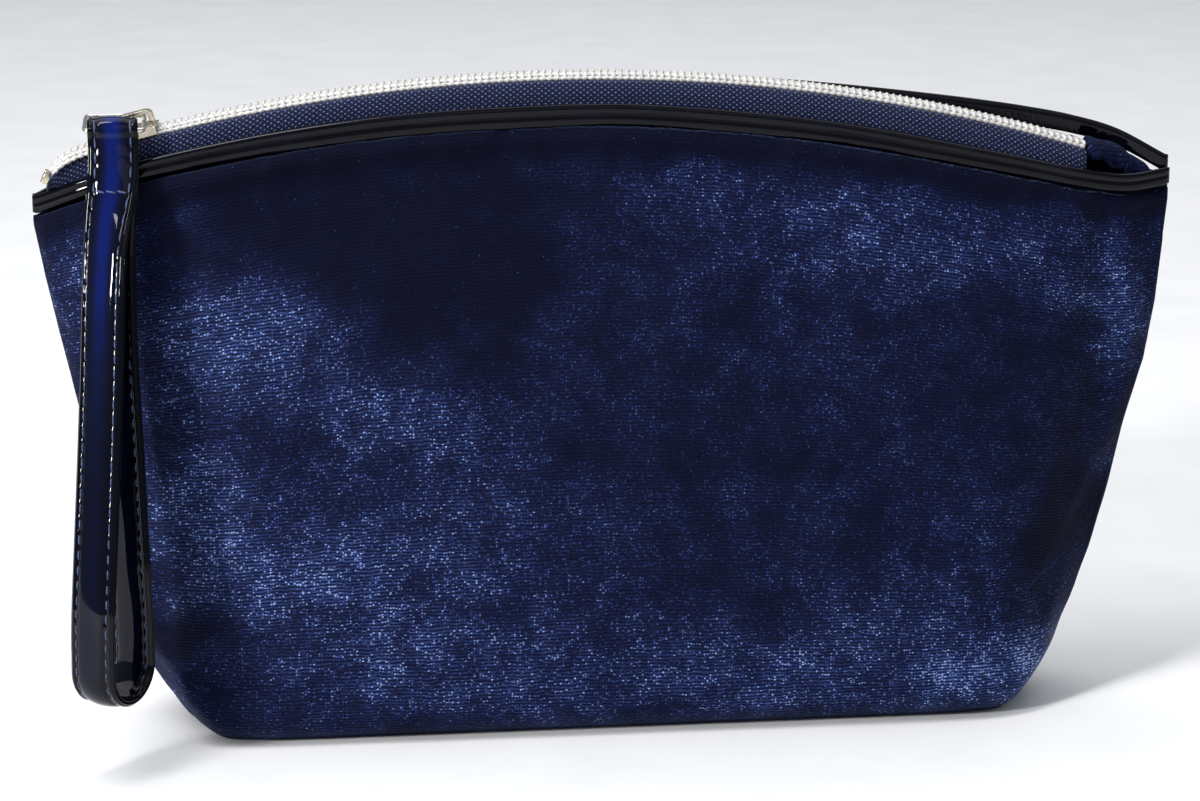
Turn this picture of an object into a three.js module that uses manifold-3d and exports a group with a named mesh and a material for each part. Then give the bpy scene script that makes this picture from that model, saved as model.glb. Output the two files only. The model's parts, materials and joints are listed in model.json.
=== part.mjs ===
// A small standing pouch: velvet shell with a boxed base, patent trim on the mouth, a coil zip on an
// arched mouth, and a patent wrist strap that hangs from the slider's ring.
// Millimetres. +X runs along the zip, -Y is the side with the strap, +Z is up.
// The origin is the middle of the flat base, on the surface that the pouch stands on.
import * as THREE from 'three';
import { mergeVertices } from 'three/addons/utils/BufferGeometryUtils.js';
import Module from 'manifold-3d';

// ---------- driving dimensions ----------

// Zip: the chain lies on one circle about an axis along Y, so that the slider can follow it.
const ARC = { x: -9, z: -240, radius: 381.2 };
// Distances from the middle of the chain, and the height of the coil over the tape.
const CHAIN = { leftX: -112, rightX: 103.9, innerY: 0.8, outerY: 3.0, height: 1.7 };
const CHAIN_END = [new THREE.Vector2(-118.6, 124.9), new THREE.Vector2(-120.3, 120.6)];
const TAPE = { innerY: 0.7, underCoil: 2.6, flatY: 5, top: -0.1, thickness: 0.45, drop: 4 };
const STOP = { length: 2.2, margin: 0.3 };

// Shell: heights along the lips, and how far each side seam stands from the middle.
const frontLip = through([
  [-124.8, 117.3], [-112, 122.4], [-100, 126.2], [-75, 131.2], [-47, 134.8], [-20, 136.2],
  [5, 136.2], [46, 131.8], [84, 124.3], [106, 119.4], [114, 118.5], [124.8, 119.2],
]);
const backLip = through([
  [-124.8, 117.6], [-118, 120], [-110, 124], [-95, 129.4], [-75, 134.6], [-50, 138.6],
  [-20, 140.3], [29, 139.5], [65, 136], [100, 130.7], [118, 125.2], [124.8, 120.5],
]);
const leftSeam = through([[0, 94], [14, 103.5], [30, 110], [60, 113.8], [90, 120], [116, 124.8], [130, 125]]);
const rightSeam = through([
  [0, 94], [16, 103], [40, 111.2], [64, 116.5], [80, 121], [104, 123.6], [118, 124.8], [130, 125]]);

// Cross-sections by share of the height: half the depth, steepness of the side facets, roundness between.
const halfDepth = through([
  [0, 23.6], [0.1, 23.9], [0.2, 24.2], [0.3, 23.8], [0.4, 22.8], [0.5, 21.3],
  [0.6, 19.4], [0.7, 17], [0.8, 14.2], [0.9, 11], [0.96, 8.9], [1, 7.7]]);
const facetSlope = through([
  [0, 4.5], [0.08, 2.4], [0.18, 1.5], [0.3, 1.15], [0.5, 0.98], [0.7, 0.8], [1, 0.55]]);
const facetRound = through([[0, 3], [0.1, 7], [0.3, 9], [1, 6]]);
const BASE_ROUND = 6;
const SEAM_GAP = 0.2;
// A layer's edge lies inside the side seam by its depth times this, up the sides and at the base.
const SEAM_TURN = { side: 1.25, base: 0.5 };

const PANEL = { columns: 20, topDrop: 5, heights: [1, 0.9, 0.79, 0.67, 0.55, 0.42, 0.29, 0.17] };
const BASE = { steps: 2, frontEnd: -0.14, backEnd: 0.16, endTaper: 0.03 };
// Each layer of the shell: depth of its outer and inner face, and how much of the top row it leaves free.
const LAYERS = {
  panel: { from: 0, to: 1.2, start: 0 },
  interlining: { from: 1.5, to: 2.4, start: 0.08 },
  lining: { from: 2.8, to: 3.3, start: 0.25 },
};
const TRIM = { height: 4.7, thickness: 1.6, proud: 0.25, ends: 123.2, steps: 24 };

// Slider, in its own frame: x along the chain, z up from the tape's top face.
const SLIDER = { x: -101.5, length: 11, mouthHalf: 4.7, tailHalf: 4.05, flangeInner: 3.35, wedgeHalf: 0.45 };
const WING = { under: 1.8, top: 2.4, bottomTop: -0.95, bottomUnder: -1.65, flangeLow: 0.3 };
const CROWN = { half: 4.9, width: 2.6, under: 4.75, top: 5.45, leg: 1.1, seat: 0.1 };

// Pull ring: a rectangle of round wire, level along X, leaning down towards the front.
const RING = { left: -111.9, right: -99.6, front: -8.3, back: 2.6, z: 133.9, lean: 0.13, wire: 0.55,
  corner: 1 };

// Wrist strap: two plies, folded over the ring's front bar and joined below it.
const STRAP = { width: 10.4, centreX: -106, ply: 0.85, gap: 0.2, barHole: 0.9, foldStart: 0.5,
  bottomZ: 16.4, bottomRadius: 7.2, legsFrom: 30, joinedAt: 113, legSteps: 20, topSteps: 5,
  acrossSteps: 3 };
// Half the distance between the legs' middles, the loop's place front to back, and its shift along X.
const strapHalf = through([[24.6, 7.2], [34, 7], [44, 6.2], [58, 5], [72, 3.85], [85, 2.8], [98, 2.05],
  [112, 1.4], [119, 1.1], [125.5, 1.1], [129.5, 1.6], [132.8, 1.8]]);
const strapDepth = through([[14, -35.5], [38, -35.2], [50, -33], [68, -28.4], [88, -23.6], [102, -20],
  [112, -16.8], [118, -14], [124, -11.4], [130, -8.7], [131.5, -8.3], [137, -8.3]]);
const strapShift = through([[14, -3], [40, -2.6], [72, -2], [98, -1.6], [113, -1], [126, 0], [137, 0]]);
const STRAP_TWIST = { angle: 33, top: 127, bottom: 108 };

// ---------- small helpers ----------

// A smooth function through [input, output] knots, held level past both ends.
function through(knots) {
  const slope = knots.map((_, i) => {
    const a = knots[Math.max(i - 1, 0)];
    const b = knots[Math.min(i + 1, knots.length - 1)];
    return (b[1] - a[1]) / (b[0] - a[0]);
  });
  return (input) => {
    const last = knots.length - 1;
    if (input <= knots[0][0]) return knots[0][1];
    if (input >= knots[last][0]) return knots[last][1];
    const i = knots.findIndex((knot) => knot[0] > input) - 1;
    const span = knots[i + 1][0] - knots[i][0];
    const s = (input - knots[i][0]) / span;
    return (2 * s ** 3 - 3 * s ** 2 + 1) * knots[i][1] + (s ** 3 - 2 * s ** 2 + s) * span * slope[i]
      + (3 * s ** 2 - 2 * s ** 3) * knots[i + 1][1] + (s ** 3 - s ** 2) * span * slope[i + 1];
  };
}

const lerp = THREE.MathUtils.lerp;
const smoothstep = THREE.MathUtils.smoothstep;
const evenly = (count, from, to) => Array.from({ length: count + 1 }, (_, i) => lerp(from, to, i / count));

// A closed body from points and triangles, turned inside out if its faces point in.
function closedBody(points, triangles) {
  const volume = triangles.reduce((sum, [a, b, c]) => {
    const cross = new THREE.Vector3().crossVectors(points[b], points[c]);
    return sum + points[a].dot(cross);
  }, 0);
  const faces = volume < 0 ? triangles.map(([a, b, c]) => [a, c, b]) : triangles;
  const geometry = new THREE.BufferGeometry();
  geometry.setAttribute('position', new THREE.Float32BufferAttribute(points.flatMap((p) => p.toArray()), 3));
  geometry.setIndex(faces.flat());
  return geometry;
}

// A body between two grids of points that have the same rows and columns.
function slab(outer, inner) {
  const rows = outer.length;
  const columns = outer[0].length;
  const points = [...outer.flat(), ...inner.flat()];
  const at = (side, row, column) => side * rows * columns + row * columns + column;
  const triangles = [];
  const quad = (a, b, c, d) => triangles.push([a, b, c], [a, c, d]);
  for (let r = 0; r + 1 < rows; r += 1) {
    for (let c = 0; c + 1 < columns; c += 1) {
      quad(at(0, r, c), at(0, r + 1, c), at(0, r + 1, c + 1), at(0, r, c + 1));
      quad(at(1, r, c), at(1, r, c + 1), at(1, r + 1, c + 1), at(1, r + 1, c));
    }
    quad(at(0, r, 0), at(1, r, 0), at(1, r + 1, 0), at(0, r + 1, 0));
    quad(at(0, r + 1, columns - 1), at(1, r + 1, columns - 1), at(1, r, columns - 1), at(0, r, columns - 1));
  }
  for (let c = 0; c + 1 < columns; c += 1) {
    quad(at(0, 0, c + 1), at(1, 0, c + 1), at(1, 0, c), at(0, 0, c));
    quad(at(0, rows - 1, c), at(1, rows - 1, c), at(1, rows - 1, c + 1), at(0, rows - 1, c + 1));
  }
  return closedBody(points, triangles);
}

// A body through rings of points. Its two ends are closed, or it joins up with itself.
function loft(rings, joinsUp = false) {
  const size = rings[0].length;
  const triangles = [];
  const spans = joinsUp ? rings.length : rings.length - 1;
  for (let r = 0; r < spans; r += 1) {
    const next = ((r + 1) % rings.length) * size;
    for (let k = 0; k < size; k += 1) {
      const k2 = (k + 1) % size;
      triangles.push([r * size + k, r * size + k2, next + k2], [r * size + k, next + k2, next + k]);
    }
  }
  if (!joinsUp) {
    const end = (rings.length - 1) * size;
    for (let k = 1; k + 1 < size; k += 1) {
      triangles.push([0, k + 1, k], [end, end + k, end + k + 1]);
    }
  }
  return closedBody(rings.flat(), triangles);
}

// The unit normal of a grid at one of its points, turned away from the point called inside.
function gridNormal(grid, r, c, inside) {
  const row = grid[r];
  const along = new THREE.Vector3().subVectors(row[Math.min(c + 1, row.length - 1)], row[Math.max(c - 1, 0)]);
  const below = grid[Math.min(r + 1, grid.length - 1)][c];
  const down = new THREE.Vector3().subVectors(below, grid[Math.max(r - 1, 0)][c]);
  const normal = new THREE.Vector3().crossVectors(along, down).normalize();
  return normal.dot(new THREE.Vector3().subVectors(row[c], inside)) < 0 ? normal.negate() : normal;
}

const wasm = await Module();
wasm.setup();

function toSolid(geometry) {
  const bare = geometry.clone();
  bare.deleteAttribute('normal');
  bare.deleteAttribute('uv');
  const merged = mergeVertices(bare, 1e-4);
  return new wasm.Manifold(new wasm.Mesh({
    numProp: 3,
    vertProperties: new Float32Array(merged.attributes.position.array),
    triVerts: new Uint32Array(merged.index.array),
  }));
}

function joined(geometries) {
  const mesh = geometries.map(toSolid).reduce((all, solid) => all.add(solid)).getMesh();
  const geometry = new THREE.BufferGeometry();
  geometry.setAttribute('position', new THREE.BufferAttribute(mesh.vertProperties, 3));
  geometry.setIndex(new THREE.BufferAttribute(mesh.triVerts, 1));
  return geometry;
}

const finish = {
  velvet: { color: 0x1b2650, roughness: 0.85, metalness: 0 },
  fleece: { color: 0xd8d6d0, roughness: 0.95, metalness: 0 },
  lining: { color: 0x10152c, roughness: 0.7, metalness: 0 },
  patent: { color: 0x070a1c, roughness: 0.12, metalness: 0 },
  tape: { color: 0x232a4a, roughness: 0.75, metalness: 0 },
  coil: { color: 0xa8a6a8, roughness: 0.4, metalness: 0 },
  metal: { color: 0xbdb7a6, roughness: 0.3, metalness: 1 },
};

function piece(name, geometry, kind) {
  const mesh = new THREE.Mesh(geometry, new THREE.MeshStandardMaterial(finish[kind]));
  mesh.name = name;
  return mesh;
}

// ---------- shell ----------

// How far the shell stands from the seam plane at x, where share is the height's share of the lip's.
function depthAt(x, share, z) {
  const edge = x < 0 ? leftSeam(z) : rightSeam(z);
  const front = halfDepth(share);
  const round = facetRound(share);
  const facet = facetSlope(share) * Math.max(edge - Math.abs(x), 0) + round ** 2 / (4 * front);
  return Math.max((front + facet - Math.hypot(front - facet, round)) / 2, 0);
}

// One level cut of the shell from the left seam to the right one, with its points evenly spaced.
function levelCut(share, lip) {
  const fine = 240;
  const curve = evenly(fine, -1, 1).map((s) => {
    const reach = s < 0 ? leftSeam : rightSeam;
    let x = s * 124.8;
    let z = 0;
    for (let i = 0; i < 4; i += 1) {
      z = share * (lip(x) - PANEL.topDrop);
      x = Math.sign(s) * reach(z) * Math.sin((Math.abs(s) * Math.PI) / 2);
    }
    const ofLip = z / lip(x);
    return new THREE.Vector3(x, -depthAt(x, ofLip, z), z);
  });
  const lengths = [0];
  for (let i = 1; i <= fine; i += 1) lengths.push(lengths[i - 1] + curve[i].distanceTo(curve[i - 1]));
  return evenly(PANEL.columns, 0, lengths[fine]).map((want) => {
    const i = Math.min(Math.max(lengths.findIndex((l) => l >= want - 1e-9), 1), fine);
    return curve[i - 1].clone().lerp(curve[i], (want - lengths[i - 1]) / (lengths[i] - lengths[i - 1]));
  });
}

// The outer face of one half of the shell, from below the lip down and under the base.
function shellGrid(lip, baseEnd) {
  const rows = PANEL.heights.map((share) => levelCut(share, lip));
  const foot = levelCut(BASE_ROUND / 130, lip);
  const middle = halfDepth(0);
  const rounded = [0, 0.7, 1].map((turn) => {
    const inset = BASE_ROUND * (1 - Math.cos((turn * Math.PI) / 2));
    const z = BASE_ROUND * (1 - Math.sin((turn * Math.PI) / 2));
    const narrow = lerp(leftSeam(0), leftSeam(BASE_ROUND), z / BASE_ROUND) / leftSeam(BASE_ROUND);
    return foot.map((p) => new THREE.Vector3(p.x * narrow, p.y * (1 - inset / middle), z));
  });
  const edge = rounded[2];
  const base = evenly(BASE.steps, 1, baseEnd).slice(1).map((k) => edge.map((p) => new THREE.Vector3(
    p.x * (1 - BASE.endTaper * (1 - k)), p.y * k, 0)));
  return [...rows, ...rounded, ...base];
}

// One layer of one half. side is 1 at the front and -1 at the back.
function shellLayer(side, layer) {
  const lip = side > 0 ? frontLip : backLip;
  const grid = shellGrid(lip, side > 0 ? BASE.frontEnd : BASE.backEnd);
  const middle = new THREE.Vector3(0, 0, 60);
  const moved = (p, r, c, distance) => {
    const atSeam = c === 0 || c === PANEL.columns;
    if (!atSeam) return p.clone().addScaledVector(gridNormal(grid, r, c, middle), -distance);
    const rise = Math.max(1 - p.z / BASE_ROUND, 0);
    const inward = lerp(SEAM_TURN.side, SEAM_TURN.base, rise) * distance;
    return new THREE.Vector3(p.x - Math.sign(p.x) * inward, p.y, p.z + rise * distance);
  };
  const placed = (distance) => {
    const face = grid.map((row, r) => row.map((p, c) => moved(p, r, c, distance)));
    face[0] = face[0].map((p, c) => p.clone().lerp(face[1][c], layer.start));
    return face.map((row) => row.map((p) => new THREE.Vector3(p.x, side * (p.y - SEAM_GAP), p.z)));
  };
  return slab(placed(layer.from), placed(layer.to));
}

// ---------- lips ----------

function trim(side) {
  const lip = side > 0 ? frontLip : backLip;
  const profile = [[-0.9, -TRIM.height], [0.9, -TRIM.height], [1, -1], [0.6, -0.25], [0, 0], [-0.6, -0.25],
    [-1, -1]];
  const rings = evenly(TRIM.steps, -TRIM.ends, TRIM.ends).map((x) => {
    const outer = depthAt(x, 1, lip(x)) + TRIM.proud + SEAM_GAP;
    const inner = Math.max(outer - TRIM.thickness, 0.25);
    return profile.map(([across, up]) => new THREE.Vector3(
      x, -side * lerp(inner, outer, (across + 1) / 2), lip(x) + up));
  });
  return loft(rings);
}

// ---------- zip chain ----------

// Point on the tape's top face and the direction away from the bag, at a share of the chain's length.
const chainStart = Math.asin((CHAIN.rightX - ARC.x) / ARC.radius);
const chainTurn = Math.asin((CHAIN.leftX - ARC.x) / ARC.radius);
const onArc = (angle) => new THREE.Vector2(
  ARC.x + ARC.radius * Math.sin(angle), ARC.z + ARC.radius * Math.cos(angle));
const chainBend = new THREE.QuadraticBezierCurve(onArc(chainTurn), CHAIN_END[0], CHAIN_END[1]);

function chainFrames(arcSteps, bendSteps, bendEnd) {
  const arc = evenly(arcSteps, chainStart, chainTurn).map((angle) => ({
    at: onArc(angle), out: new THREE.Vector2(Math.sin(angle), Math.cos(angle)) }));
  const bend = evenly(bendSteps, 0, bendEnd).slice(1).map((s) => {
    const along = chainBend.getTangent(s);
    return { at: chainBend.getPoint(s), out: new THREE.Vector2(along.y, -along.x) };
  });
  return [...arc, ...bend];
}

const onChain = (frame, y, up) => new THREE.Vector3(
  frame.at.x + frame.out.x * up, y, frame.at.y + frame.out.y * up);
const bendEndOfCoil = 1 - (STOP.length + STOP.margin) / chainBend.getLength();

function coil(side) {
  const { innerY, outerY, height } = CHAIN;
  const profile = [[innerY, 0], [outerY, 0], [outerY, 0.9], [outerY - 0.6, height], [innerY + 0.2, height],
    [innerY, 1.2]];
  const frames = chainFrames(20, 5, bendEndOfCoil);
  return loft(frames.map((frame) => profile.map(([y, up]) => onChain(frame, -side * y, up))));
}

function stop(side) {
  const { innerY, outerY, height } = CHAIN;
  const profile = [[innerY, 0], [outerY, 0], [outerY, height], [innerY, height]];
  return loft([1 - STOP.length / chainBend.getLength(), 1].map((s) => {
    const along = chainBend.getTangent(s);
    const frame = { at: chainBend.getPoint(s), out: new THREE.Vector2(along.y, -along.x) };
    return profile.map(([y, up]) => onChain(frame, -side * y, up));
  }));
}

// One half of the tape: flat under the coil, then down between the lips where there is room for it.
function tape(side) {
  const lip = side > 0 ? frontLip : backLip;
  const { innerY, underCoil, flatY, top, thickness } = TAPE;
  const faces = chainFrames(20, 6, 1).map((frame) => {
    const { x } = frame.at;
    const inside = depthAt(x, 1, lip(x)) + TRIM.proud + SEAM_GAP - TRIM.thickness - thickness;
    const flat = Math.min(flatY, Math.max(inside, CHAIN.outerY + 0.3));
    const tucked = smoothstep(inside, CHAIN.outerY + 0.2, flatY - 0.8);
    const low = Math.min(lip(x) - TAPE.drop, frame.at.y - 2.5);
    const high = Math.max(lip(x) + 1, frame.at.y - 0.8);
    const endY = lerp(flat + 0.3, inside, tucked);
    const endZ = lerp(high, low, tucked);
    const outer = [onChain(frame, innerY, top), onChain(frame, underCoil, top), onChain(frame, flat, top),
      new THREE.Vector3(x, endY, endZ)];
    const under = top - thickness;
    const inner = [onChain(frame, innerY, under), onChain(frame, underCoil, under),
      onChain(frame, flat - 0.8 * thickness, under), new THREE.Vector3(x, endY - thickness, endZ - 0.2)];
    return { outer, inner };
  });
  const placed = (row) => row.map((p) => new THREE.Vector3(p.x, -side * p.y, p.z));
  return slab(faces.map(({ outer }) => placed(outer)), faces.map(({ inner }) => placed(inner)));
}

// The velvet tab that covers the closed end of the chain and runs down into the corner.
function endTab() {
  // Each station: x, half width, half height, and how far its middle is above the chain's line.
  const stations = [[104.9, 4.2, 1.9, 0.4], [108, 3.9, 1.9, 0.4], [112, 3, 1.8, 0.2], [116, 1.8, 1.5, -1],
    [118.6, 1.1, 1.1, -2]];
  const corners = 8;
  return loft(stations.map(([x, halfWidth, halfHeight, lift]) => {
    const z = onArc(Math.asin((x - ARC.x) / ARC.radius)).y + lift;
    return evenly(corners, 0, 2 * Math.PI).slice(1).map((turn) => new THREE.Vector3(x,
      halfWidth * Math.sign(Math.cos(turn)) * Math.abs(Math.cos(turn)) ** 0.6,
      z + halfHeight * Math.sign(Math.sin(turn)) * Math.abs(Math.sin(turn)) ** 0.6));
  }));
}

// ---------- slider ----------

// A plate or post from an outline in the slider's plan, between two heights.
function plate(outline, low, high) {
  const shape = new THREE.Shape(outline);
  const geometry = new THREE.ExtrudeGeometry(shape, { depth: high - low, bevelEnabled: false });
  return geometry.translate(0, 0, low);
}

function wingOutline(inset) {
  const half = SLIDER.length / 2 - inset;
  const mouth = SLIDER.mouthHalf - inset;
  const tail = SLIDER.tailHalf - inset;
  return [[-half, -mouth + 1.6], [-half + 1, -mouth], [half - 0.7, -tail], [half, -tail + 0.8],
    [half, tail - 0.8], [half - 0.7, tail], [-half + 1, mouth], [-half, mouth - 1.6], [-half + 1.2, 0],
  ].map(([x, y]) => new THREE.Vector2(x, y));
}

function sliderBody() {
  const half = SLIDER.length / 2;
  const outline = (points) => points.map(([x, y]) => new THREE.Vector2(x, y));
  const flange = (sign) => outline([
    [-half + 1, sign * SLIDER.flangeInner], [half - 0.7, sign * SLIDER.flangeInner],
    [half - 0.7, sign * SLIDER.tailHalf], [-half + 1, sign * SLIDER.mouthHalf]]);
  const wedge = outline([[-half + 1.3, -SLIDER.wedgeHalf], [0.6, -SLIDER.wedgeHalf], [2.2, 0],
    [0.6, SLIDER.wedgeHalf], [-half + 1.3, SLIDER.wedgeHalf]]);
  return joined([
    plate(wingOutline(0), WING.under, WING.top - 0.35),
    plate(wingOutline(0.5), WING.under, WING.top),
    plate(wingOutline(1), WING.bottomUnder, WING.bottomTop),
    plate(wedge, WING.bottomUnder + 0.2, WING.top - 0.2),
    plate(flange(1), WING.flangeLow, WING.top - 0.4),
    plate(flange(-1), WING.flangeLow, WING.top - 0.4),
  ]);
}

function sliderCrown() {
  const { half, width, under, top, leg, seat } = CROWN;
  const low = WING.top + seat;
  const outline = new THREE.Shape();
  outline.moveTo(half, low);
  outline.lineTo(half, top - 1.4);
  outline.quadraticCurveTo(half, top, half - 1.8, top);
  outline.lineTo(-half + 1.8, top);
  outline.quadraticCurveTo(-half, top, -half, top - 1.4);
  outline.lineTo(-half, low);
  outline.lineTo(-half + leg, low);
  outline.lineTo(-half + leg, under - 0.7);
  outline.quadraticCurveTo(-half + leg, under, -half + leg + 0.8, under);
  outline.lineTo(half - leg - 0.8, under);
  outline.quadraticCurveTo(half - leg, under, half - leg, under - 0.7);
  outline.lineTo(half - leg, low);
  const settings = { depth: width, bevelEnabled: false, curveSegments: 4 };
  const geometry = new THREE.ExtrudeGeometry(outline, settings);
  return geometry.translate(0, 0, -width / 2).rotateX(Math.PI / 2);
}

function pullRing() {
  const { left, right, front, back, z, lean, wire, corner } = RING;
  const corners = [[right - corner, back - corner, 0], [left + corner, back - corner, 90],
    [left + corner, front + corner, 180], [right - corner, front + corner, 270]];
  const bend = ([x, y, start]) => evenly(3, start, start + 90).map((degrees) => {
    const turn = THREE.MathUtils.degToRad(degrees);
    return { x: x + corner * Math.cos(turn), y: y + corner * Math.sin(turn), turn };
  });
  const path = corners.flatMap(bend);
  const sides = 8;
  return loft(path.map(({ x, y, turn }) => evenly(sides, 0, 2 * Math.PI).slice(1).map((around) => {
    const out = wire * Math.cos(around);
    const yAt = y + out * Math.sin(turn);
    return new THREE.Vector3(x + out * Math.cos(turn), yAt, z + yAt * lean + wire * Math.sin(around));
  })), true);
}

// ---------- wrist strap ----------

const barZ = RING.z + RING.front * RING.lean;

const legHeights = [...evenly(STRAP.topSteps, barZ - STRAP.foldStart, STRAP.joinedAt),
  ...evenly(STRAP.legSteps, STRAP.joinedAt, STRAP.legsFrom).slice(1)];

// Flat points [front to back, height] round the strap's loop, grow mm outside the middle of its legs: down
// the right leg, round the foot, up the left leg and over the bar.
function wholeLoop(grow) {
  const radius = STRAP.bottomRadius + grow;
  const foot = STRAP.bottomZ + STRAP.bottomRadius + STRAP.ply + STRAP.gap / 2;
  const fold = STRAP.barHole + STRAP.ply + STRAP.gap / 2 + grow;
  const right = legHeights.map((z) => [strapHalf(z) + grow, z]);
  const round = evenly(8, 2 * Math.PI, Math.PI).map((turn) => [
    radius * Math.cos(turn), foot + radius * Math.sin(turn)]);
  const over = evenly(6, Math.PI, 0).map((turn) => [fold * Math.cos(turn), barZ + fold * Math.sin(turn)]);
  return [...right, ...round, ...right.map(([q, z]) => [-q, z]).reverse(), ...over];
}

// The inner ply's own inside: the open loop below, the line where its legs are sewn together, the bar's hole.
function insideLoop() {
  const bar = STRAP.barHole;
  const [top, under] = legHeights;
  return wholeLoop(-STRAP.gap / 2 - STRAP.ply).map(([q, z]) => {
    if (z >= barZ) return [q, z];
    if (z === top) return [Math.sign(q) * Math.sqrt(bar ** 2 - STRAP.foldStart ** 2), z];
    if (z === under) return [0, barZ - bar];
    return z < STRAP.joinedAt ? [q, z] : [0, z];
  });
}

// Hangs a flat point of the strap in its place: across is its distance from the middle of the width.
function hung([q, z], across) {
  const twist = THREE.MathUtils.degToRad(STRAP_TWIST.angle)
    * (1 - smoothstep(z, STRAP_TWIST.bottom, STRAP_TWIST.top));
  return new THREE.Vector3(
    STRAP.centreX + strapShift(z) + across * Math.cos(twist) + q * Math.sin(twist),
    strapDepth(z) - across * Math.sin(twist) + q * Math.cos(twist), z);
}

// A ply: its two edges fill the strip between an outer and an inner loop, and its walls cross the width
// along every rim of that strip.
function ply(outside, inside) {
  const flat = [];
  const indexOf = (point) => {
    const known = flat.findIndex(([q, z]) => Math.hypot(q - point[0], z - point[1]) < 1e-6);
    return known < 0 ? flat.push(point) - 1 : known;
  };
  const outer = outside.map(indexOf);
  const inner = inside.map(indexOf);
  const edge = outer.flatMap((a, i) => {
    const next = (i + 1) % outer.length;
    return [[a, outer[next], inner[next]], [a, inner[next], inner[i]]];
  }).filter(([a, b, c]) => a !== b && b !== c && c !== a);
  const sides = edge.flatMap(([a, b, c]) => [[a, b], [b, c], [c, a]]);
  const rims = sides.filter(([a, b]) => !sides.some(([c, d]) => a === d && b === c));

  const offsets = evenly(STRAP.acrossSteps, -STRAP.width / 2, STRAP.width / 2);
  const points = offsets.flatMap((across) => flat.map((point) => hung(point, across)));
  const far = STRAP.acrossSteps * flat.length;
  const triangles = edge.flatMap(([a, b, c]) => [[a, c, b], [far + a, far + b, far + c]]);
  for (let near = 0; near < far; near += flat.length) {
    const next = near + flat.length;
    for (const [a, b] of rims) {
      if (flat[a][1] < flat[b][1]) {
        triangles.push([near + a, near + b, next + b], [near + a, next + b, next + a]);
      } else {
        triangles.push([near + a, near + b, next + a], [near + b, next + b, next + a]);
      }
    }
  }
  return closedBody(points, triangles);
}

// ---------- the pouch ----------

const pouch = new THREE.Group();

for (const [side, half] of [[1, 'front'], [-1, 'back']]) {
  pouch.add(piece(`${half}_panel`, shellLayer(side, LAYERS.panel), 'velvet'));
  pouch.add(piece(`${half}_interlining`, shellLayer(side, LAYERS.interlining), 'fleece'));
  pouch.add(piece(`${half}_lining`, shellLayer(side, LAYERS.lining), 'lining'));
  pouch.add(piece(`${half}_trim`, trim(side), 'patent'));
  pouch.add(piece(`zip_tape_${half}`, tape(side), 'tape'));
  pouch.add(piece(`zip_coil_${half}`, coil(side), 'coil'));
  pouch.add(piece(`zip_stop_${half}`, stop(side), 'metal'));
}
pouch.add(piece('zip_end_tab', endTab(), 'velvet'));

const slider = new THREE.Group();
slider.position.set(ARC.x, 0, ARC.z);
slider.rotation.y = Math.asin((SLIDER.x - ARC.x) / ARC.radius);
const onChainTop = new THREE.Group();
onChainTop.position.z = ARC.radius;
onChainTop.add(piece('slider_body', sliderBody(), 'metal'), piece('slider_crown', sliderCrown(), 'metal'));
slider.add(onChainTop);
pouch.add(slider);

pouch.add(piece('pull_ring', pullRing(), 'metal'));
const outerPly = ply(wholeLoop(STRAP.ply + STRAP.gap / 2), wholeLoop(STRAP.gap / 2));
const innerPly = ply(wholeLoop(-STRAP.gap / 2), insideLoop());
pouch.add(piece('strap_outer', outerPly, 'patent'), piece('strap_inner', innerPly, 'patent'));

export default pouch;
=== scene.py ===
# %% [markdown]
# # A standing velvet pouch with an arched zip and a wrist strap
# The frame holds the exact solids and the joints. This lesson gives each soft piece its cloth
# shape and each surface its finish, and rounds the edges of the metal. The panels, the lips and the
# zip's line are measured from the frame; the strap's line is drawn again from a few numbers.

# %% The frame and the tools
import json
import math

import bmesh
import bpy
import numpy as np
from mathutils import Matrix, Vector, noise
from mathutils.bvhtree import BVHTree


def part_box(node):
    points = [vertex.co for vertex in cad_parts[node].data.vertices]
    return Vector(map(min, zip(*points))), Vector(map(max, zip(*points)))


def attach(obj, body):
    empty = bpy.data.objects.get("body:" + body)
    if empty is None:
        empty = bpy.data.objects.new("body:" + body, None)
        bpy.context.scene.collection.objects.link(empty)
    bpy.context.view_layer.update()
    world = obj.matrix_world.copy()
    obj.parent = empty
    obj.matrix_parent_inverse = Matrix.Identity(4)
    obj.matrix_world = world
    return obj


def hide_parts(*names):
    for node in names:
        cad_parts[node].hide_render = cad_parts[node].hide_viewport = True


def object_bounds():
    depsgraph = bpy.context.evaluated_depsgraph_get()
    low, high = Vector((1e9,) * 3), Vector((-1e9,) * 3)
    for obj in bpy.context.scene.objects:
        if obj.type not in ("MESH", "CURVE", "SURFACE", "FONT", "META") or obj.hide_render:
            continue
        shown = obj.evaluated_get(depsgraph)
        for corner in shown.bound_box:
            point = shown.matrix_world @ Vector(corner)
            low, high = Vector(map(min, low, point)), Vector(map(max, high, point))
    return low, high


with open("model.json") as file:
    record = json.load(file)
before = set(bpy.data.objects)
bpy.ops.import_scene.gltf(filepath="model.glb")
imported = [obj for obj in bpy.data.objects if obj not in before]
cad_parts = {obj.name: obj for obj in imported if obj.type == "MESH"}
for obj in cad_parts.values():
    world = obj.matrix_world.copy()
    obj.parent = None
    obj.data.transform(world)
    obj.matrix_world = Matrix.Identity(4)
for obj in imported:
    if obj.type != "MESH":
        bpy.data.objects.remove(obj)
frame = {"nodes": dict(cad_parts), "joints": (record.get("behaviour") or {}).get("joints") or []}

MM = 0.001
cad_low, cad_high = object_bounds()
print("solids:", len(frame["nodes"]), "size in mm:", [round(v / MM, 1) for v in cad_high - cad_low])

# %% [markdown]
# ## Camera
# A long lens a little above the lip and a little left of the middle shows the front, the zip and
# the strap together. A turn in degrees about the pouch is easier to read than a position, so the
# camera's place is worked out from it.

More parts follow.
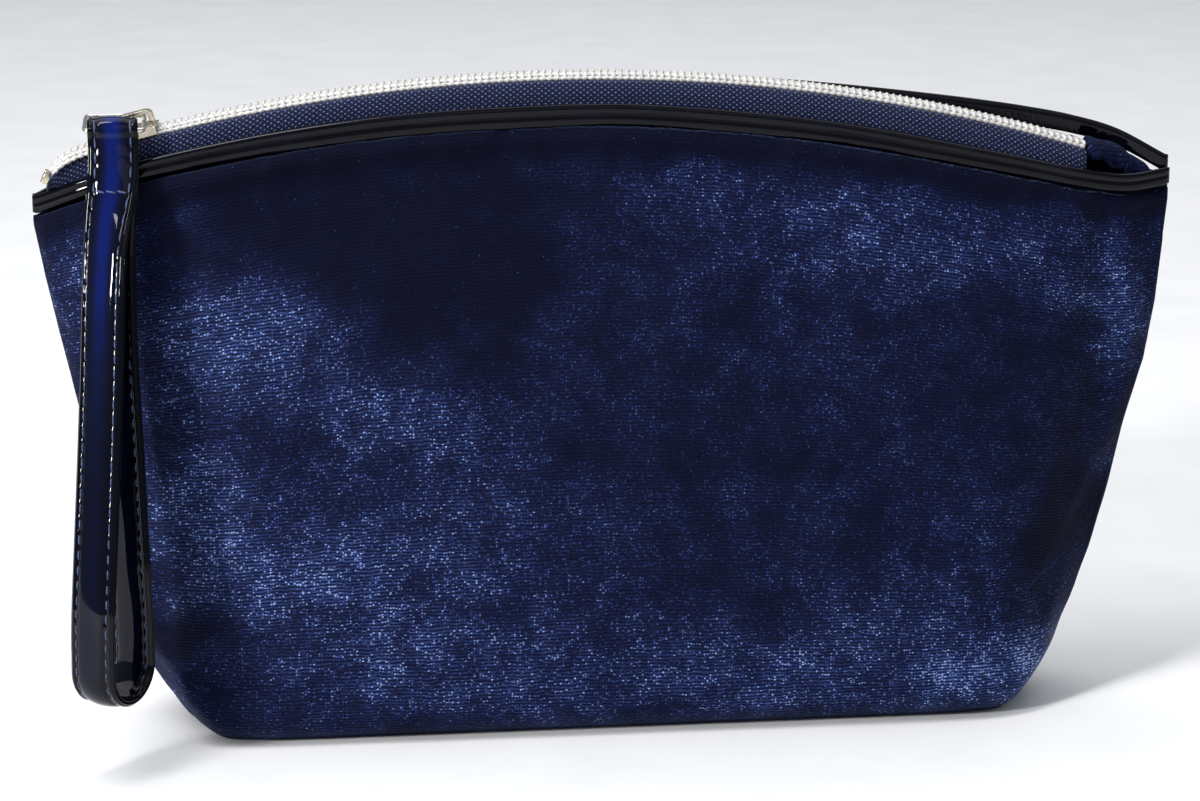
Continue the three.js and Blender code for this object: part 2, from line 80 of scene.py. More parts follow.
# %% Camera
LOOK_AT = Vector((0, 0, 72)) * MM
CAMERA_TURN = math.radians(-6.6)
CAMERA_RISE = math.radians(14)
CAMERA_DISTANCE = 700 * MM

backward = Vector((
    math.sin(CAMERA_TURN) * math.cos(CAMERA_RISE),
    -math.cos(CAMERA_TURN) * math.cos(CAMERA_RISE),
    math.sin(CAMERA_RISE),
))
lens = bpy.data.cameras.new("camera")
lens.sensor_width = 36
lens.lens = 95.5
lens.shift_x = -0.00975
lens.shift_y = -0.0092
camera = bpy.data.objects.new("camera", lens)
camera.location = LOOK_AT + backward * CAMERA_DISTANCE
camera.rotation_euler = (-backward).to_track_quat("-Z", "Y").to_euler()
bpy.context.scene.collection.objects.link(camera)
bpy.context.scene.camera = camera
print("camera at", [round(v, 3) for v in camera.location])

# %% [markdown]
# ## Node trees in few words
# A finish is a Principled shader with a pattern in front of it. Adding nodes one by one takes many
# lines, so a small helper adds a node, sets it and links what goes in. Colours are written as dyes
# in the usual 0 to 255 and turned into the linear values that a shader needs.

# %% A helper for finishes
def dye(red, green, blue):
    """A colour in 0 to 255 as the linear values and the alpha that a shader takes."""
    linear = [c / 12.92 if c <= 0.04045 else ((c + 0.055) / 1.055) ** 2.4
              for c in (red / 255, green / 255, blue / 255)]
    return (*linear, 1)


class Finish:
    """A material with a Principled shader, and short calls that add nodes in front of it."""

    def __init__(self, name, **constants):
        self.material = bpy.data.materials.new(name)
        self.material.use_nodes = True
        self.tree = self.material.node_tree
        self.tree.nodes.clear()
        self.shader = self.add("ShaderNodeBsdfPrincipled")
        output = self.add("ShaderNodeOutputMaterial")
        self.tree.links.new(self.shader.outputs[0], output.inputs["Surface"])
        for key, value in constants.items():
            self.shader.inputs[key.replace("_", " ")].default_value = value

    def add(self, kind, settings=None, inputs=None):
        node = self.tree.nodes.new(kind)
        for key, value in (settings or {}).items():
            setattr(node, key, value)
        for key, value in (inputs or {}).items():
            self.feed(node.inputs[key], value)
        return node

    def feed(self, socket, value):
        if isinstance(value, bpy.types.NodeSocket):
            self.tree.links.new(value, socket)
        else:
            socket.default_value = value

    def math(self, operation, *values):
        return self.add("ShaderNodeMath", {"operation": operation}, dict(enumerate(values))).outputs[0]

    def cloth(self):
        """Where a point lies on the flat cloth in mm: along, down."""
        attribute = self.add("ShaderNodeAttribute", {"attribute_name": "cloth"})
        return attribute.outputs["Vector"]

    def place(self):
        """Where a point lies in the frame, in metres."""
        return self.add("ShaderNodeTexCoord").outputs["Object"]

    def stretch(self, vector, scale):
        return self.add("ShaderNodeMapping", {}, {"Vector": vector, "Scale": scale}).outputs[0]

    def split(self, vector):
        return self.add("ShaderNodeSeparateXYZ", {}, {0: vector}).outputs

    def noise(self, vector, scale, detail=2.0, roughness=0.5):
        return self.add("ShaderNodeTexNoise", {}, {
            "Vector": vector, "Scale": scale, "Detail": detail, "Roughness": roughness}).outputs[0]

    def cells(self, vector, scale):
        """Distance to the nearest cell's middle, and that cell's own random colour."""
        node = self.add("ShaderNodeTexVoronoi", {}, {"Vector": vector, "Scale": scale})
        return node.outputs["Distance"], node.outputs["Color"]

    def span(self, value, low, high, to_low=0.0, to_high=1.0):
        return self.add("ShaderNodeMapRange", {"interpolation_type": "SMOOTHSTEP"}, {
            "Value": value, "From Min": low, "From Max": high,
            "To Min": to_low, "To Max": to_high}).outputs[0]

    def ramp(self, value, stops):
        node = self.add("ShaderNodeValToRGB", {}, {0: value})
        ramp = node.color_ramp
        while len(ramp.elements) < len(stops):
            ramp.elements.new(0.5)
        for element, (position, colour) in zip(ramp.elements, stops):
            element.position = position
            element.color = colour
        return node.outputs[0]

    def blend(self, share, first, second):
        node = self.add("ShaderNodeMix", {"data_type": "RGBA"}, {0: share})
        self.feed(node.inputs[6], first)
        self.feed(node.inputs[7], second)
        return node.outputs[2]

    def bump(self, height, depth, strength=1.0):
        return self.add("ShaderNodeBump", {}, {
            "Height": height, "Distance": depth * MM, "Strength": strength}).outputs[0]

    def use(self, **linked):
        """Links patterns to the shader's inputs and hands over the finished material."""
        for key, value in linked.items():
            self.feed(self.shader.inputs[key.replace("_", " ")], value)
        print(f"{self.material.name}: {len(self.tree.nodes)} nodes")
        return self.material


# %% [markdown]
# ## The floor and the light
# The pouch stands on a plain pale floor. A small lamp from the left throws the strap's shadow on the
# velvet, and the smaller a lamp is, the crisper its shadow. A broad weak one in front fills that
# shadow, a broad one above keeps the floor pale, and a narrow strip draws the long highlights on the
# patent, which shows mostly what it mirrors. A pale sky lights the rest.

# %% Floor
def pale_floor():
    paint = Finish("pale_floor", Roughness=0.6)
    speckle = paint.noise(paint.place(), 30, 3)
    return paint.use(Base_Color=paint.ramp(speckle, [(0.3, dye(236, 236, 238)),
                                                     (0.7, dye(242, 242, 243))]))


FLOOR_HALF = 4
FLOOR_GAP = 0.2 * MM
corners = ((-1, -1), (1, -1), (1, 1), (-1, 1))
floor_mesh = bpy.data.meshes.new("floor")
floor_mesh.from_pydata(
    [(x * FLOOR_HALF, y * FLOOR_HALF, cad_low.z - FLOOR_GAP) for x, y in corners], [], [(0, 1, 2, 3)])
floor = bpy.data.objects.new("floor", floor_mesh)
floor_mesh.materials.append(pale_floor())
bpy.context.scene.collection.objects.link(floor)


# %% Lamps and sky
def lamp(name, place, aim, size, watts, colour=(1, 1, 1)):
    data = bpy.data.lights.new(name, "AREA")
    data.shape = "RECTANGLE"
    data.size, data.size_y = size
    data.energy = watts
    data.color = colour
    lit = bpy.data.objects.new(name, data)
    lit.location = place
    lit.rotation_euler = (Vector(aim) - Vector(place)).to_track_quat("-Z", "Y").to_euler()
    bpy.context.scene.collection.objects.link(lit)


# name, place, aim, size in metres, watts
lamp("key_lamp", (-1.0, -0.78, 0.62), (-0.02, 0, 0.08), (0.16, 0.16), 14, (1, 0.99, 0.97))
lamp("front_lamp", (0.6, -1.7, 1.5), (0, 0, 0.07), (1.6, 1.2), 3)
lamp("top_lamp", (0, 0.6, 1.8), (0, 0.3, 0), (2.4, 1.6), 22)
lamp("strip_lamp", (-0.42, -0.3, 1.1), (-0.05, 0, 0.12), (0.16, 0.7), 7)
sky = bpy.data.worlds.new("sky")
bpy.context.scene.world = sky
sky.use_nodes = True
background = sky.node_tree.nodes["Background"]
background.inputs["Color"].default_value = dye(226, 232, 240)
background.inputs["Strength"].default_value = 0.36
bpy.context.scene.view_settings.view_transform = "Standard"

# %% [markdown]
# ## Measuring the frame and making a mesh
# A cloth piece starts as a grid of points in millimetres. Rays shot at the frame's solids give the
# grid its depth, which is quicker and surer than repeating the solids' formulas. The flat position
# of each point on its cloth is kept as an attribute, so that weave and stitches follow the cloth.

# %% Smooth curves, rays and lengths
def through(knots):
    """A smooth function through (input, output) knots, held level past both ends."""
    xs, ys = (np.array(values, float) for values in zip(*knots))
    slopes = (np.append(ys[1:], ys[-1]) - np.append(ys[0], ys[:-1])) / (
        np.append(xs[1:], xs[-1]) - np.append(xs[0], xs[:-1]))

    def value(at):
        at = np.clip(at, xs[0], xs[-1])
        i = np.clip(np.searchsorted(xs, at, side="right") - 1, 0, len(xs) - 2)
        span = xs[i + 1] - xs[i]
        s = (at - xs[i]) / span
        return ((2 * s**3 - 3 * s**2 + 1) * ys[i] + (s**3 - 2 * s**2 + s) * span * slopes[i]
                + (3 * s**2 - 2 * s**3) * ys[i + 1] + (s**3 - s**2) * span * slopes[i + 1])

    return value


def smoothstep(value, low, high):
    s = np.clip((value - low) / (high - low), 0, 1)
    return s * s * (3 - 2 * s)


def points_of(node):
    return np.array([v.co for v in frame["nodes"][node].data.vertices]) / MM


def solid_tree(node):
    mesh = frame["nodes"][node].data
    return BVHTree.FromPolygons([v.co for v in mesh.vertices], [tuple(p.vertices) for p in mesh.polygons])


def hit(tree, start, direction):
    """Where a ray meets a solid, in mm, or None."""
    found = tree.ray_cast(Vector(start) * MM, Vector(direction))[0]
    return None if found is None else found / MM


def arc_lengths(points):
    """Length along a row of points, from the first one."""
    return np.append(0, np.cumsum(np.linalg.norm(np.diff(points, axis=0), axis=1)))


print("the front panel's solid has", len(points_of("front_panel")), "points")


# %% Faces of a grid, and a piece made from them
POUCH_MIDDLE = np.array((0, 0, 60))


def grid_faces(rows, columns, joins_rows=False, joins_columns=False):
    """Faces between neighbours of a grid, which may also close on itself either way."""
    last_row = rows if joins_rows else rows - 1
    last_column = columns if joins_columns else columns - 1
    return [(r * columns + c, ((r + 1) % rows) * columns + c,
             ((r + 1) % rows) * columns + (c + 1) % columns, r * columns + (c + 1) % columns)
            for r in range(last_row) for c in range(last_column)]


def face_away(work, inside):
    """Turns an open sheet's faces so that they look away from a point in mm."""
    away = sum(f.normal.dot(f.calc_center_median() - Vector(inside) * MM) * f.calc_area() for f in work.faces)
    if away < 0:
        bmesh.ops.reverse_faces(work, faces=work.faces)


def make_piece(name, points, faces, finish, body, replaces=(), cloth=None, nap_and_painted_light=None, inside=None):
    """A smooth mesh from points in mm that rides a body and stands for the CAD nodes it replaces."""
    mesh = bpy.data.meshes.new(name)
    mesh.from_pydata((np.asarray(points).reshape(-1, 3) * MM).tolist(), [], faces)
    if cloth is not None:
        flat = np.asarray(cloth, float).reshape(-1, 2)
        attribute = mesh.attributes.new("cloth", "FLOAT_VECTOR", "POINT")
        attribute.data.foreach_set("vector", np.c_[flat, np.zeros(len(flat))].ravel())
    if nap_and_painted_light is not None:
        mesh.attributes.new("nap_and_painted_light", "FLOAT", "POINT").data.foreach_set("value", np.ravel(nap_and_painted_light))
    cleaned = bmesh.new()
    cleaned.from_mesh(mesh)
    bmesh.ops.recalc_face_normals(cleaned, faces=cleaned.faces)
    if inside is not None:
        face_away(cleaned, inside)
    cleaned.to_mesh(mesh)
    cleaned.free()
    mesh.shade_smooth()
    mesh.materials.append(finish)
    piece = bpy.data.objects.new(name, mesh)
    bpy.context.scene.collection.objects.link(piece)
    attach(piece, body)
    if replaces:
        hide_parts(*replaces)
    print(f"{name}: {len(mesh.vertices)} points, {len(mesh.polygons)} faces")
    return piece


def thicken(piece, thickness):
    """Gives a sheet its thickness in mm, inward from the face that shows."""
    solid = piece.modifiers.new("thickness", "SOLIDIFY")
    solid.thickness = thickness * MM
    solid.offset = -1


# %% Normals, smoothing and soft noise
def outward_normals(grid):
    """Unit normals of a grid, away from the middle of the pouch."""
    normal = np.cross(np.gradient(grid, axis=1), np.gradient(grid, axis=0))
    normal /= np.maximum(np.linalg.norm(normal, axis=2, keepdims=True), 1e-9)
    return normal * np.sign((normal * (grid - POUCH_MIDDLE)).sum(axis=2, keepdims=True))


def soften(grid, times):
    """Evens out a grid's inner points and keeps its edges."""
    for _ in range(times):
        grid[1:-1, 1:-1] = (grid[1:-1, 1:-1] * 4 + grid[:-2, 1:-1] + grid[2:, 1:-1]
                            + grid[1:-1, :-2] + grid[1:-1, 2:]) / 8
    return grid


def lumps(x, z, size, seed):
    """Soft noise of a given size in mm, about -1 to 1, the same at every run."""
    flat = np.c_[np.ravel(x) / size, np.ravel(z) / size]
    return np.array([noise.noise(Vector((a, b, seed))) for a, b in flat]).reshape(np.shape(x)) * 1.6


print("a lump at 10 mm and 20 mm:", round(float(lumps(10, 20, 30, 1.5)), 2))


# %% [markdown]
# ## The lips
# Front and back, a patent trim binds the mouth. Its solid in the frame gives the height of the lip
# and the trim's two faces at any place along the pouch; the velvet, the trim itself and the zip tape
# are all drawn from these three curves.

# %% Curves of the lips
class Lip:
    """Height, outer face and inner face of one trim, as smooth functions of x in mm."""

    def __init__(self, half):
        self.side = -1 if half == "front" else 1
        points = points_of(f"{half}_trim")
        stations = np.unique(np.round(points[:, 0], 1))
        ring = [points[np.abs(points[:, 0] - x) < 0.3] for x in stations]
        self.top = through([(x, r[:, 2].max()) for x, r in zip(stations, ring)])
        self.outer = through([(x, np.abs(r[:, 1]).max()) for x, r in zip(stations, ring)])
        self.inner = through([(x, np.abs(r[:, 1]).min()) for x, r in zip(stations, ring)])
        self.end = stations.max()


lips = {half: Lip(half) for half in ("front", "back")}
for half, lip in lips.items():
    heights = [round(float(lip.top(x)), 1) for x in (-110, 0, 110)]
    print(half, "lip height in mm at left, middle, right:", heights)

# %% [markdown]
# ## Knit velvet
# Crushed knit velvet is a jersey with a short pile. The pile shines at the rim of every swell, which
# is the shader's sheen. Fine rows run across the cloth: a wave on the flat cloth. Single loops and
# rare sparks are painted highlights, random cells on the flat cloth that are brightened in the
# colour. Patches where a hand has brushed the pile another way are darker or brighter, and painted
# shade is added to them under the trim and over some dents. They are too particular for noise
# alone, so each point of the cloth carries a number for them, and the finish only has to read it.

# %% Velvet finish
ROW_PITCH = 0.8


def velvet_finish():
    paint = Finish("knit_velvet", Sheen_Weight=0.1, Sheen_Roughness=0.4, Specular_IOR_Level=0.08,
                   Sheen_Tint=dye(112, 134, 180))
    cloth = paint.cloth()
    nap_and_painted_light = paint.add("ShaderNodeAttribute", {"attribute_name": "nap_and_painted_light"}).outputs["Fac"]
    wobble = paint.math("MULTIPLY", paint.noise(cloth, 0.3, 2), 1.1)
    rows = paint.math("ADD", paint.split(cloth)[1], wobble)
    wave = paint.math("SINE", paint.math("MULTIPLY", rows, math.tau / ROW_PITCH))
    # single loops and rare sparks are painted highlights: random cells brightened in the colour; the loops
    # are also bumps
    near, own = paint.cells(paint.stretch(cloth, (1 / 0.62, 1 / 0.46, 1)), 1)
    luck = paint.math("POWER", paint.split(own)[0], 2.6)
    loop = paint.math("MULTIPLY", paint.span(near, 0.62, 0.1), luck)
    far, rare = paint.cells(paint.stretch(cloth, (1 / 0.8, 1 / 0.8, 1)), 1)
    painted_glint = paint.math("MULTIPLY", paint.span(far, 0.3, 0.1), paint.span(paint.split(rare)[1], 0.9, 1.0))
    blur = paint.noise(cloth, 0.16, 4, 0.65)
    # the nap attribute brings the brushed patches and their painted shade into the colour
    pile_and_painted_shade = paint.math("MULTIPLY", nap_and_painted_light, paint.span(blur, 0.3, 0.7, 0.62, 1.38))
    grain = paint.math("ADD", paint.math("MULTIPLY", loop, 1.25), paint.span(wave, -1, 1, 0.06, 0.3))
    light = paint.math("ADD", paint.math("MULTIPLY", pile_and_painted_shade, grain), paint.math("MULTIPLY", painted_glint, 0.3))
    colour = paint.ramp(light, [(0.0, dye(2, 4, 24)), (0.14, dye(14, 22, 58)), (0.4, dye(50, 68, 122)),
                                (0.9, dye(146, 170, 222))])
    height = paint.math("ADD", paint.math("MULTIPLY", wave, 0.35), paint.math("MULTIPLY", loop, 1.6))
    return paint.use(Base_Color=colour, Roughness=paint.span(nap_and_painted_light, 0, 1, 0.8, 0.55),
                     Normal=paint.bump(height, 0.2, 0.8))


velvet = velvet_finish()

# %% [markdown]
# ## The velvet panels
# Each half of the shell is one panel: from under the trim, down the wide face, round the foot and in
# under the base. It could be modelled by pushing a box about, but a grid of rays on the solid keeps
# the true width, belly and side seams. The grid is then evened out, so that the solid's facets go.

# %% Grid of a panel
COLUMNS = 240
ROWS = 118
FOOT_ROUND = 6
# mm below the lip: where the panel starts under the trim, and the highest ray that meets its solid
UNDER_TRIM = 4.5
HIGHEST_RAY = 5.2
# the side seam's own distance from the middle plane, and the highest place where it is measured
SEAM_Y = 0.25
SEAM_TOP = 112
# where each half ends under the base, as a share of its depth: the front laps over the middle
BASE_END = {"front": -0.14, "back": 0.16}


class Panel:
    """The outer face of one half of the shell as a grid of points in mm, and its flat cloth."""

    def __init__(self, half):
        self.half = half
        self.lip = lips[half]
        self.side = self.lip.side
        self.tree = solid_tree(f"{half}_panel")
        self.seam_heights = np.linspace(1, SEAM_TOP, 60)
        self.seams = {turn: np.array([self.seam(turn, z) for z in self.seam_heights]) for turn in (-1, 1)}
        face = self.face()
        self.grid = soften(np.concatenate([face, self.foot(face[-1])]), 45)
        self.grid[-self.base_rows:, :, 2] = 0
        middle = self.grid[:, COLUMNS // 2]
        self.down = arc_lengths(middle)[:, None] + np.zeros(COLUMNS + 1)
        self.along = self.grid[:, :, 0]

    def seam(self, turn, z):
        """Where the side seam is at a height."""
        return hit(self.tree, (turn * 200, self.side * 0.5, z), (-turn, 0, 0)).x

    def reach(self, share, z):
        """x at a share of the way from the middle to the side seam, with more columns near it."""
        seam = np.where(share < 0, -np.interp(z, self.seam_heights, self.seams[-1]),
                        np.interp(z, self.seam_heights, self.seams[1]))
        return seam * (0.45 * np.abs(share) + 0.55 * np.sin(np.abs(share) * math.pi / 2)) * np.sign(share)

    def face(self):
        """The wide face, row by row from the trim down; x and height depend on each other."""
        shares = np.linspace(-1, 1, COLUMNS + 1)
        rows = []
        for up in np.linspace(1, 0, ROWS + 1):
            x = shares * 110
            for _ in range(4):
                z = FOOT_ROUND + up * (self.lip.top(x) - UNDER_TRIM - FOOT_ROUND)
                x = self.reach(shares, z)
            y = np.full(COLUMNS + 1, SEAM_Y)
            for c in range(1, COLUMNS):
                height = min(z[c], self.lip.top(x[c]) - HIGHEST_RAY)
                found = hit(self.tree, (x[c], self.side * 90, height), (0, -self.side, 0))
                y[c] = SEAM_Y if found is None else abs(found.y)
            rows.append(np.c_[x, self.side * y, z])
        return np.array(rows)

    def foot(self, edge):
        """Round the foot, a little narrower as it turns, and in under the base."""
        depth = np.abs(edge[:, 1]).max()
        rounded = []
        for turn in np.linspace(0, math.pi / 2, 9)[1:]:
            narrow = 1 - 0.012 * (1 - math.cos(turn)) - 0.035 * math.sin(turn)
            inset = FOOT_ROUND * (1 - math.cos(turn)) / depth
            height = FOOT_ROUND * (1 - math.sin(turn))
            rounded.append(np.c_[edge[:, 0] * narrow, edge[:, 1] * (1 - inset), np.full(len(edge), height)])
        x, y, _ = rounded[-1].T
        base = []
        for share in np.linspace(1, BASE_END[self.half], 16)[1:]:
            inner_y = y * max(share, 0) + self.side * depth * min(share, 0)
            base.append(np.c_[x * (1 - 0.03 * (1 - share)), inner_y, np.zeros(len(edge))])
        self.base_rows = len(base) + 1
        return np.array(rounded + base)


panels = {half: Panel(half) for half in ("front", "back")}
for half, panel in panels.items():
    deepest = float(np.abs(panel.grid[:, :, 1]).max())
    print(half, "panel grid:", panel.grid.shape[:2], "deepest at", round(deepest, 1), "mm")

# %% [markdown]
# ## Letting the velvet sag
# Sewn cloth is never as taut as a drawing. A coarse copy of each panel is cut slightly too large,
# held at the trim, the side seams and the base, and left to hang for some frames with a light
# stuffing behind it. Only the difference that this makes is carried to the fine grid, and it is
# capped, so that the pouch keeps its size.

# %% Cloth simulation
SAG_STEP = 4
SAG_FRAMES = 24
SAG_LIMIT = 1.6


def settled(grid, side):
    """How far each point of a coarse grid moves when the cloth hangs, in mm."""
    rows, columns = grid.shape[:2]
    mesh = bpy.data.meshes.new("hanging_cloth")
    mesh.from_pydata((grid.reshape(-1, 3) * MM).tolist(), [], grid_faces(rows, columns))
    cloth = bpy.data.objects.new("hanging_cloth", mesh)
    bpy.context.scene.collection.objects.link(cloth)
    held = cloth.vertex_groups.new(name="held")
    r, c = np.divmod(np.arange(rows * columns), columns)
    edge = (r < 1) | (r > rows - 6) | (c < 1) | (c > columns - 2)
    held.add(np.nonzero(edge)[0].tolist(), 1.0, "REPLACE")
    modifier = cloth.modifiers.new("cloth", "CLOTH")
    settings = modifier.settings
    settings.quality = 6
    settings.mass = 0.25
    settings.tension_stiffness = 12
    settings.compression_stiffness = 9
    settings.shear_stiffness = 4
    settings.bending_stiffness = 0.35
    settings.shrink_min = -0.018
    settings.vertex_group_mass = "held"
    settings.use_pressure = True
    settings.uniform_pressure_force = 0.4 * side
    modifier.collision_settings.use_self_collision = False
    for step in range(1, SAG_FRAMES + 1):
        bpy.context.scene.frame_set(step)
    evaluated = cloth.evaluated_get(bpy.context.evaluated_depsgraph_get())
    moved = np.array([v.co for v in evaluated.data.vertices]) / MM
    bpy.data.objects.remove(cloth)
    bpy.context.scene.frame_set(1)
    shift = moved.reshape(grid.shape) - grid
    length = np.linalg.norm(shift, axis=2, keepdims=True)
    return shift * np.minimum(1, SAG_LIMIT / np.maximum(length, 1e-6))


def spread(coarse, rows, columns):
    """A coarse grid of vectors brought to a finer one."""
    r = np.linspace(0, coarse.shape[0] - 1, rows)
    c = np.linspace(0, coarse.shape[1] - 1, columns)
    across = np.array([[np.interp(c, np.arange(coarse.shape[1]), line[:, k]) for k in range(3)]
                       for line in coarse]).transpose(0, 2, 1)
    return np.array([[np.interp(r, np.arange(coarse.shape[0]), across[:, j, k]) for k in range(3)]
                     for j in range(columns)]).transpose(2, 0, 1)


for half, panel in panels.items():
    panel.sag = np.zeros_like(panel.grid)
    coarse = settled(panel.grid[::SAG_STEP, ::SAG_STEP].copy(), -panel.side)
    panel.sag = soften(spread(coarse, *panel.grid.shape[:2]), 12)
    print(half, "velvet moved at most", round(float(np.linalg.norm(panel.sag, axis=2).max()), 2), "mm")

# %% [markdown]
# ## Puffs, tucks and dents
# Under the trim the pile swells over the seam and is pulled in behind it. The side seams gather the
# cloth in short tucks, and a stuffed pouch has long soft swells and a few dents where it was held.
# These are too fine for the simulation, so they are added along the surface's normal as sums of
# bell curves and noise, each with its own size.

# %% Relief of the velvet
# x, height, half width along, half width across, turn in degrees, depth: all in mm
FRONT_DENTS = [
    (-86, 20, 16, 4.5, 24, 1.5), (-96, 34, 14, 5, 62, 1.1), (104, 42, 15, 5, 68, 1.6),
    (97, 24, 14, 4.5, -38, 1.2), (-62, 108, 24, 9, -8, 0.9), (60, 60, 34, 12, 30, 0.8),
    (109, 92, 18, 6, 80, 1.0), (20, 16, 40, 5, 3, 0.7), (112, 108, 9, 3, 35, 1.1),
]
BACK_DENTS = [(80, 24, 16, 5, -30, 1.3), (-98, 40, 15, 5, 70, 1.4), (30, 70, 34, 12, -20, 0.9)]


def relief(panel, dents):
    x, z = panel.grid[:, :, 0], panel.grid[:, :, 2]
    below_trim = panel.down - panel.down[0]
    waistline = panel.grid[ROWS // 2]
    from_seam = np.minimum(arc_lengths(waistline), arc_lengths(waistline[::-1])[::-1])
    gather = lumps(x, z * 0.25, 7, 3.1) * 0.5 + lumps(x, z * 0.4, 3.4, 5.2) * 0.25
    # tucked in at the trim, puffed out just below it, and gathered further down
    height = -1.0 * np.exp(-((below_trim / 0.9) ** 2))
    height += (1.05 + gather) * np.exp(-(((below_trim - 2.6) / 2.1) ** 2))
    height += 0.45 * gather * np.exp(-below_trim / 8)
    # short tucks along the side seams, then swells of three sizes over the whole face
    height += (0.55 * lumps(z, x * 0.2, 6, 8.4) - 0.35) * np.exp(-from_seam / 7)
    height += 0.9 * lumps(x, z, 52, 1.7) + 0.4 * lumps(x, z * 1.3, 21, 4.4) + 0.14 * lumps(x, z, 8, 6.6)
    for at_x, at_z, half_along, half_across, turn, depth in dents:
        c, s = math.cos(math.radians(turn)), math.sin(math.radians(turn))
        along = (x - at_x) * c + (z - at_z) * s
        across = (z - at_z) * c - (x - at_x) * s
        height -= depth * np.exp(-((along / half_along) ** 2) - (across / half_across) ** 2)
    calm = smoothstep(from_seam, 0, 4) * smoothstep(z, 1.5, 12)
    return height * np.maximum(calm, np.exp(-below_trim / 3) * smoothstep(from_seam, 0, 3))


print("dents in the front and the back:", len(FRONT_DENTS), len(BACK_DENTS))

# %% [markdown]
# ## The lie of the pile, and painted shade
# Where a hand has stroked velvet, its pile leans another way and shows another shade. The bright and
# dark patches could be painted on a texture, but a short list of soft spots with ragged edges is
# easier to change. The dark spots over the dents and just under the right end of the trim are
# painted shade. Close under the trim the pile is pressed flat, and it is painted dark there, which
# is also painted shade under the trim.

# %% Brushed patches and painted shade
# x, height, half width, half height in mm, and how much brighter
# the dark spots at (-94, 26) and (98, 40) lie over dents, and the one at (98, 124) under the trim: painted
# shade
FRONT_NAP_AND_SHADE = [
    (-60, 116, 26, 15, -0.34), (-38, 98, 26, 12, -0.28), (-80, 90, 16, 11, 0.75), (-58, 73, 20, 9, 0.42),
    (-40, 66, 16, 9, 0.25), (-91, 54, 9, 16, 0.6), (-72, 36, 18, 14, 0.5), (-30, 42, 40, 14, 0.3),
    (-45, 18, 26, 9, 0.45), (30, 14, 50, 12, 0.55), (88, 12, 22, 9, 0.8), (55, 112, 22, 9, 0.42),
    (84, 103, 24, 9, 0.42), (8, 117, 22, 11, 0.12), (-94, 26, 11, 5, -0.7), (98, 40, 7, 9, -0.4),
    (110, 88, 8, 12, 0.7), (-115, 104, 9, 22, 0.35), (60, 68, 60, 12, -0.06), (98, 124, 26, 4, -0.4),
]
BACK_NAP = [(50, 100, 40, 22, 0.4), (-40, 60, 50, 20, 0.3), (-80, 105, 26, 14, -0.3), (0, 14, 80, 10, 0.4)]


def brushed_and_shaded(panel, patches, seed):
    """How bright the pile is at each point, 0 to about 1.5: brushed patches, with painted shade under the
    trim.
    """
    x, z = panel.grid[:, :, 0], panel.grid[:, :, 2]
    wavy_x, wavy_z = x + 5 * lumps(x, z, 16, seed), z + 4 * lumps(x, z, 14, seed + 3)
    nap_and_painted_light = 0.3 + 0.1 * lumps(x, z, 30, seed + 5)
    nap_and_painted_light = nap_and_painted_light + 0.12 * lumps(x, z, 9, seed + 7) + 0.07 * lumps(x, z, 4, seed + 9)
    for at_x, at_z, wide, high, more in patches:
        nap_and_painted_light += more * np.exp(-(((wavy_x - at_x) / wide) ** 2) - ((wavy_z - at_z) / high) ** 2)
    below_trim = panel.down - panel.down[0]
    # close under the trim the pile is painted dark: pressed-flat pile and painted shade under the trim
    upright_and_unshaded = smoothstep(below_trim + 1.5 * lumps(x, z, 9, seed), 3.5, 10)
    return np.clip(nap_and_painted_light, 0.06, 1.5) * (0.12 + 0.88 * upright_and_unshaded)


print("brushed patches on the front and the back:", len(FRONT_NAP_AND_SHADE), len(BACK_NAP))

# %% Velvet pieces
VELVET_THICKNESS = 1.0
for (half, panel), dents, patches, seed in zip(
        panels.items(), (FRONT_DENTS, BACK_DENTS), (FRONT_NAP_AND_SHADE, BACK_NAP), (2.5, 40.5)):
    hung = panel.grid + panel.sag * smoothstep(panel.grid[:, :, 2:], 2, 14)
    panel.shaped = hung + outward_normals(hung) * relief(panel, dents)[:, :, None]
    panel.cloth = np.stack([panel.along, panel.down], axis=2)
    piece = make_piece(f"{half}_velvet", panel.shaped, grid_faces(*hung.shape[:2]), velvet, "pouch",
                       [f"{half}_panel"], panel.cloth, brushed_and_shaded(panel, patches, seed), POUCH_MIDDLE)
    thicken(piece, VELVET_THICKNESS)

# %% [markdown]
# ## Fleece and lining
# Two more layers stand behind the velvet: a fleece that keeps the pouch upright, and the lining that
# its contents touch. They follow the same grid, further in, and need far fewer points. Both are dark,
# so that nothing pale shines through at a seam.

# %% Finishes of the fleece and the lining
def fleece_finish():
    paint = Finish("fleece", Sheen_Weight=0.2, Specular_IOR_Level=0.2)
    fibres = paint.noise(paint.stretch(paint.cloth(), (0.6, 2.2, 1)), 1.4, 5, 0.7)
    return paint.use(Base_Color=paint.ramp(fibres, [(0.3, dye(26, 29, 44)), (0.7, dye(52, 56, 76))]),
                     Roughness=paint.span(fibres, 0.3, 0.7, 0.9, 1.0), Normal=paint.bump(fibres, 0.3))


def lining_finish():
    paint = Finish("lining_cloth", Sheen_Weight=0.15)
    warp = paint.split(paint.cloth())
    threads = paint.math("MULTIPLY", paint.math("SINE", paint.math("MULTIPLY", warp[0], 21)),
                         paint.math("SINE", paint.math("MULTIPLY", warp[1], 21)))
    weave = paint.ramp(paint.span(threads, -1, 1), [(0, dye(12, 16, 38)), (1, dye(26, 32, 62))])
    return paint.use(Base_Color=weave, Roughness=paint.span(threads, -1, 1, 0.55, 0.4),
                     Normal=paint.bump(threads, 0.05))


# name of the layer, finish, mm behind the velvet's face, thickness in mm
LAYERS = [("interlining", fleece_finish(), 1.6, 0.8), ("lining", lining_finish(), 2.8, 0.5)]

